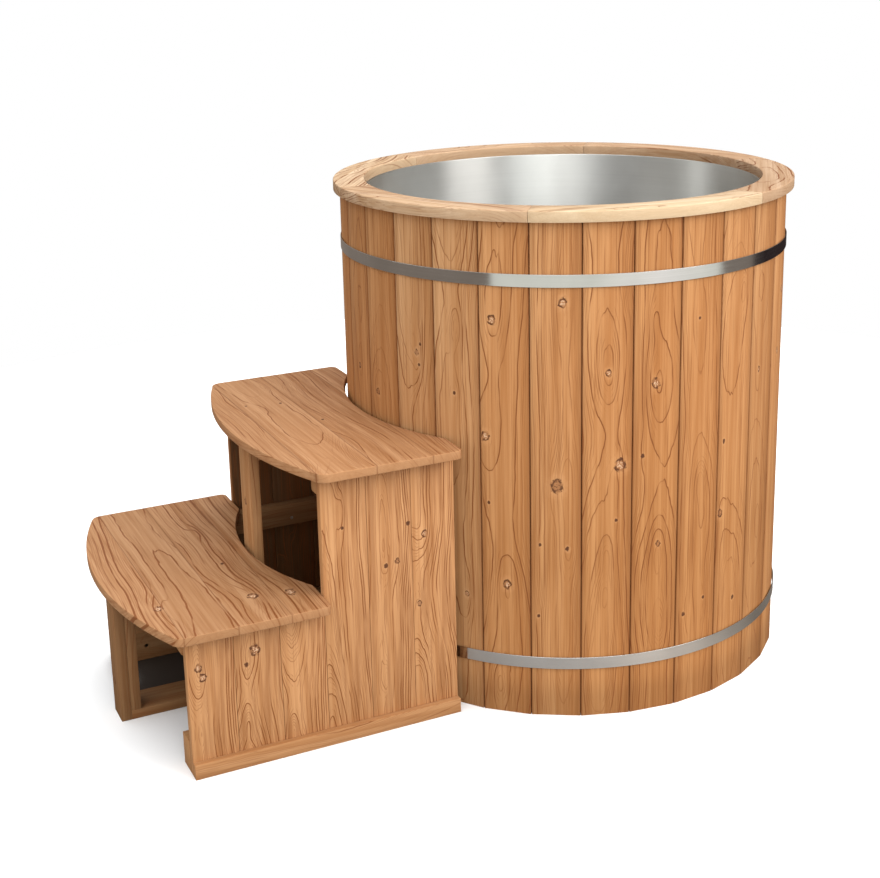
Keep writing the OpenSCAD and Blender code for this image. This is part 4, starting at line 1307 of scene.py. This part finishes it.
class TUB_OT_studio(bpy.types.Operator):
    """Sets up the floor, the soft light and the camera"""

    bl_idname = "tub.studio"
    bl_label = "Studio"

    def execute(self, context):
        scene = context.scene
        scene.view_settings.view_transform = "Standard"
        self.floor()
        self.sky(scene)
        for name, settings in LAMPS.items():
            self.lamp(name, *settings)
        self.camera(scene)
        return {"FINISHED"}

    def floor(self):
        """A pale disc that throws little light back, in deep shade where the steps stand over it."""
        bm = bmesh.new()
        bmesh.ops.create_circle(bm, cap_ends=True, segments=96, radius=FLOOR_RADIUS)
        move_all(bm, FLOOR_MIDDLE)
        mesh = mesh_of("floor", bm)
        material, f, shader = new_material("floor_paint")
        place = f.place()
        mottle = f.noise(place, scale=1.5)
        paint = f.blend(self.under_steps(f, place), f.blend(mottle, *FLOOR_PAINT), FLOOR_SHADE)
        seen = f.value("ShaderNodeLightPath", output="Is Camera Ray")
        f.put(shader.inputs["Base Color"], f.blend(seen, ring_ramp(f, place, FLOOR_CARDS), paint))
        f.put(shader.inputs["Roughness"], mottle * 0.1 + 0.75)
        mesh.materials.append(material)
        new_object("floor", mesh)

    def under_steps(self, f, place):
        """How deep in the steps' shade the floor lies; light comes in past the near panel's front end."""
        x, y, _ = f.split(place)
        low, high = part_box("near_boards_low")[0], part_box("far_boards_high")[1]
        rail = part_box("middle_foot_rail")
        lit_beside, lit_past = low.x + 0.13, low.x - 0.06
        start = f.ease(y, rail[0].y, rail[1].y, lit_beside, lit_past)
        covered = f.value("ShaderNodeAmbientOcclusion", {"Distance": 1.0}, "AO", samples=16)
        deep = f.ease(x - start, 0.0, 0.05) * f.ease(covered, 0.64, 0.38)
        for operation, way, limit in (
                ("LESS_THAN", x, high.x), ("LESS_THAN", y, high.y), ("GREATER_THAN", y, low.y)):
            deep = deep * f.math(operation, way, limit)
        return deep

    def sky(self, scene):
        """White past the tub, cards round about for the steel to mirror, and soft light from above."""
        world = bpy.data.worlds.new("studio")
        world.use_nodes = True
        world.node_tree.nodes.clear()
        f = Formula(world.node_tree)
        way = f.value("ShaderNodeTexCoord", output="Generated")
        height = f.split(way)[2]
        soft = f.ease(f.vector("DOT_PRODUCT", way, LIGHT_WAY), -0.35, 1.0, SKY_LOW, SKY_HIGH)
        soft = f.tint(SKY_COLOUR, f.grey(soft))
        cards = (ring_ramp(f, way, LOW_CARDS), ring_ramp(f, way, HIGH_CARDS))
        mirrored = f.blend(f.ease(height, 0.02, 0.18), *cards)
        mirrored = f.blend(f.ease(height, 0.70, 0.95), mirrored, soft)
        colour = f.blend(f.value("ShaderNodeLightPath", output="Is Glossy Ray"), soft, mirrored)
        colour = f.blend(f.value("ShaderNodeLightPath", output="Is Camera Ray"), colour, (1, 1, 1, 1))
        light = f.value("ShaderNodeBackground", {"Color": colour})
        f.node("ShaderNodeOutputWorld", {"Surface": light})
        scene.world = world

    def lamp(self, name, place, target, size, watts, colour, mirrored):
        lamp = bpy.data.lights.new(name, "AREA")
        lamp.shape = "SQUARE"
        lamp.size = size
        lamp.energy = watts
        lamp.color = colour
        made = new_object(name, lamp)
        made.location = place
        made.rotation_euler = (Vector(target) - Vector(place)).to_track_quat("-Z", "Y").to_euler()
        made.visible_glossy = mirrored

    def camera(self, scene):
        yaw, pitch, roll = CAMERA_YAW, CAMERA_PITCH, CAMERA_ROLL
        ahead = Vector((math.sin(yaw) * math.cos(pitch), math.cos(yaw) * math.cos(pitch), math.sin(pitch)))
        level = Vector((math.cos(yaw), -math.sin(yaw), 0))
        up = level.cross(ahead)
        right = math.cos(roll) * level + math.sin(roll) * up
        top = -math.sin(roll) * level + math.cos(roll) * up
        lens = bpy.data.cameras.new("camera")
        lens.sensor_width = SENSOR * 1000
        lens.lens = FOCAL_PIXELS / PHOTO_SIZE[0] * SENSOR * 1000
        lens.shift_x = (PHOTO_SIZE[0] / 2 - PHOTO_AXIS[0]) / PHOTO_SIZE[0]
        lens.shift_y = (PHOTO_AXIS[1] - PHOTO_SIZE[1] / 2) / PHOTO_SIZE[0]
        scene.camera = new_object("camera", lens)
        turn = Matrix((right, top, -ahead)).transposed()
        scene.camera.matrix_world = Matrix.Translation(CAMERA_PLACE) @ turn.to_4x4()


GROUPS = (TubSizes, StepSizes, TubColours)
OPERATORS = (
    TUB_OT_staves, TUB_OT_rim, TUB_OT_hoops, TUB_OT_hoop_fasteners, TUB_OT_liner, TUB_OT_floor,
    TUB_OT_drain, TUB_OT_valve, TUB_OT_valve_handle, TUB_OT_treads, TUB_OT_panels, TUB_OT_rails,
    TUB_OT_middle_frame, TUB_OT_screws, TUB_OT_studio,
)


class TUB_PT_pieces(bpy.types.Panel):
    """Lists the tub's pieces and its studio"""

    bl_idname = "TUB_PT_pieces"
    bl_label = "Cold plunge tub"
    bl_space_type = "VIEW_3D"
    bl_region_type = "UI"
    bl_category = "Tub"

    def draw(self, context):
        for operator in OPERATORS:
            self.layout.operator(operator.bl_idname)


CLASSES = GROUPS + OPERATORS + (TUB_PT_pieces,)


def register():
    for cls in CLASSES:
        bpy.utils.register_class(cls)
    bpy.types.Scene.tub_sizes = PointerProperty(type=TubSizes)
    bpy.types.Scene.step_sizes = PointerProperty(type=StepSizes)
    bpy.types.Scene.tub_colours = PointerProperty(type=TubColours)


def unregister():
    del bpy.types.Scene.tub_colours
    del bpy.types.Scene.step_sizes
    del bpy.types.Scene.tub_sizes
    for cls in reversed(CLASSES):
        bpy.utils.unregister_class(cls)


def main():
    register()
    make_ring_group()
    make_knot_groups()
    make_wood_group()
    for operator in OPERATORS:
        family, action = operator.bl_idname.split(".")
        getattr(getattr(bpy.ops, family), action)()


if __name__ == "__main__":
    main()
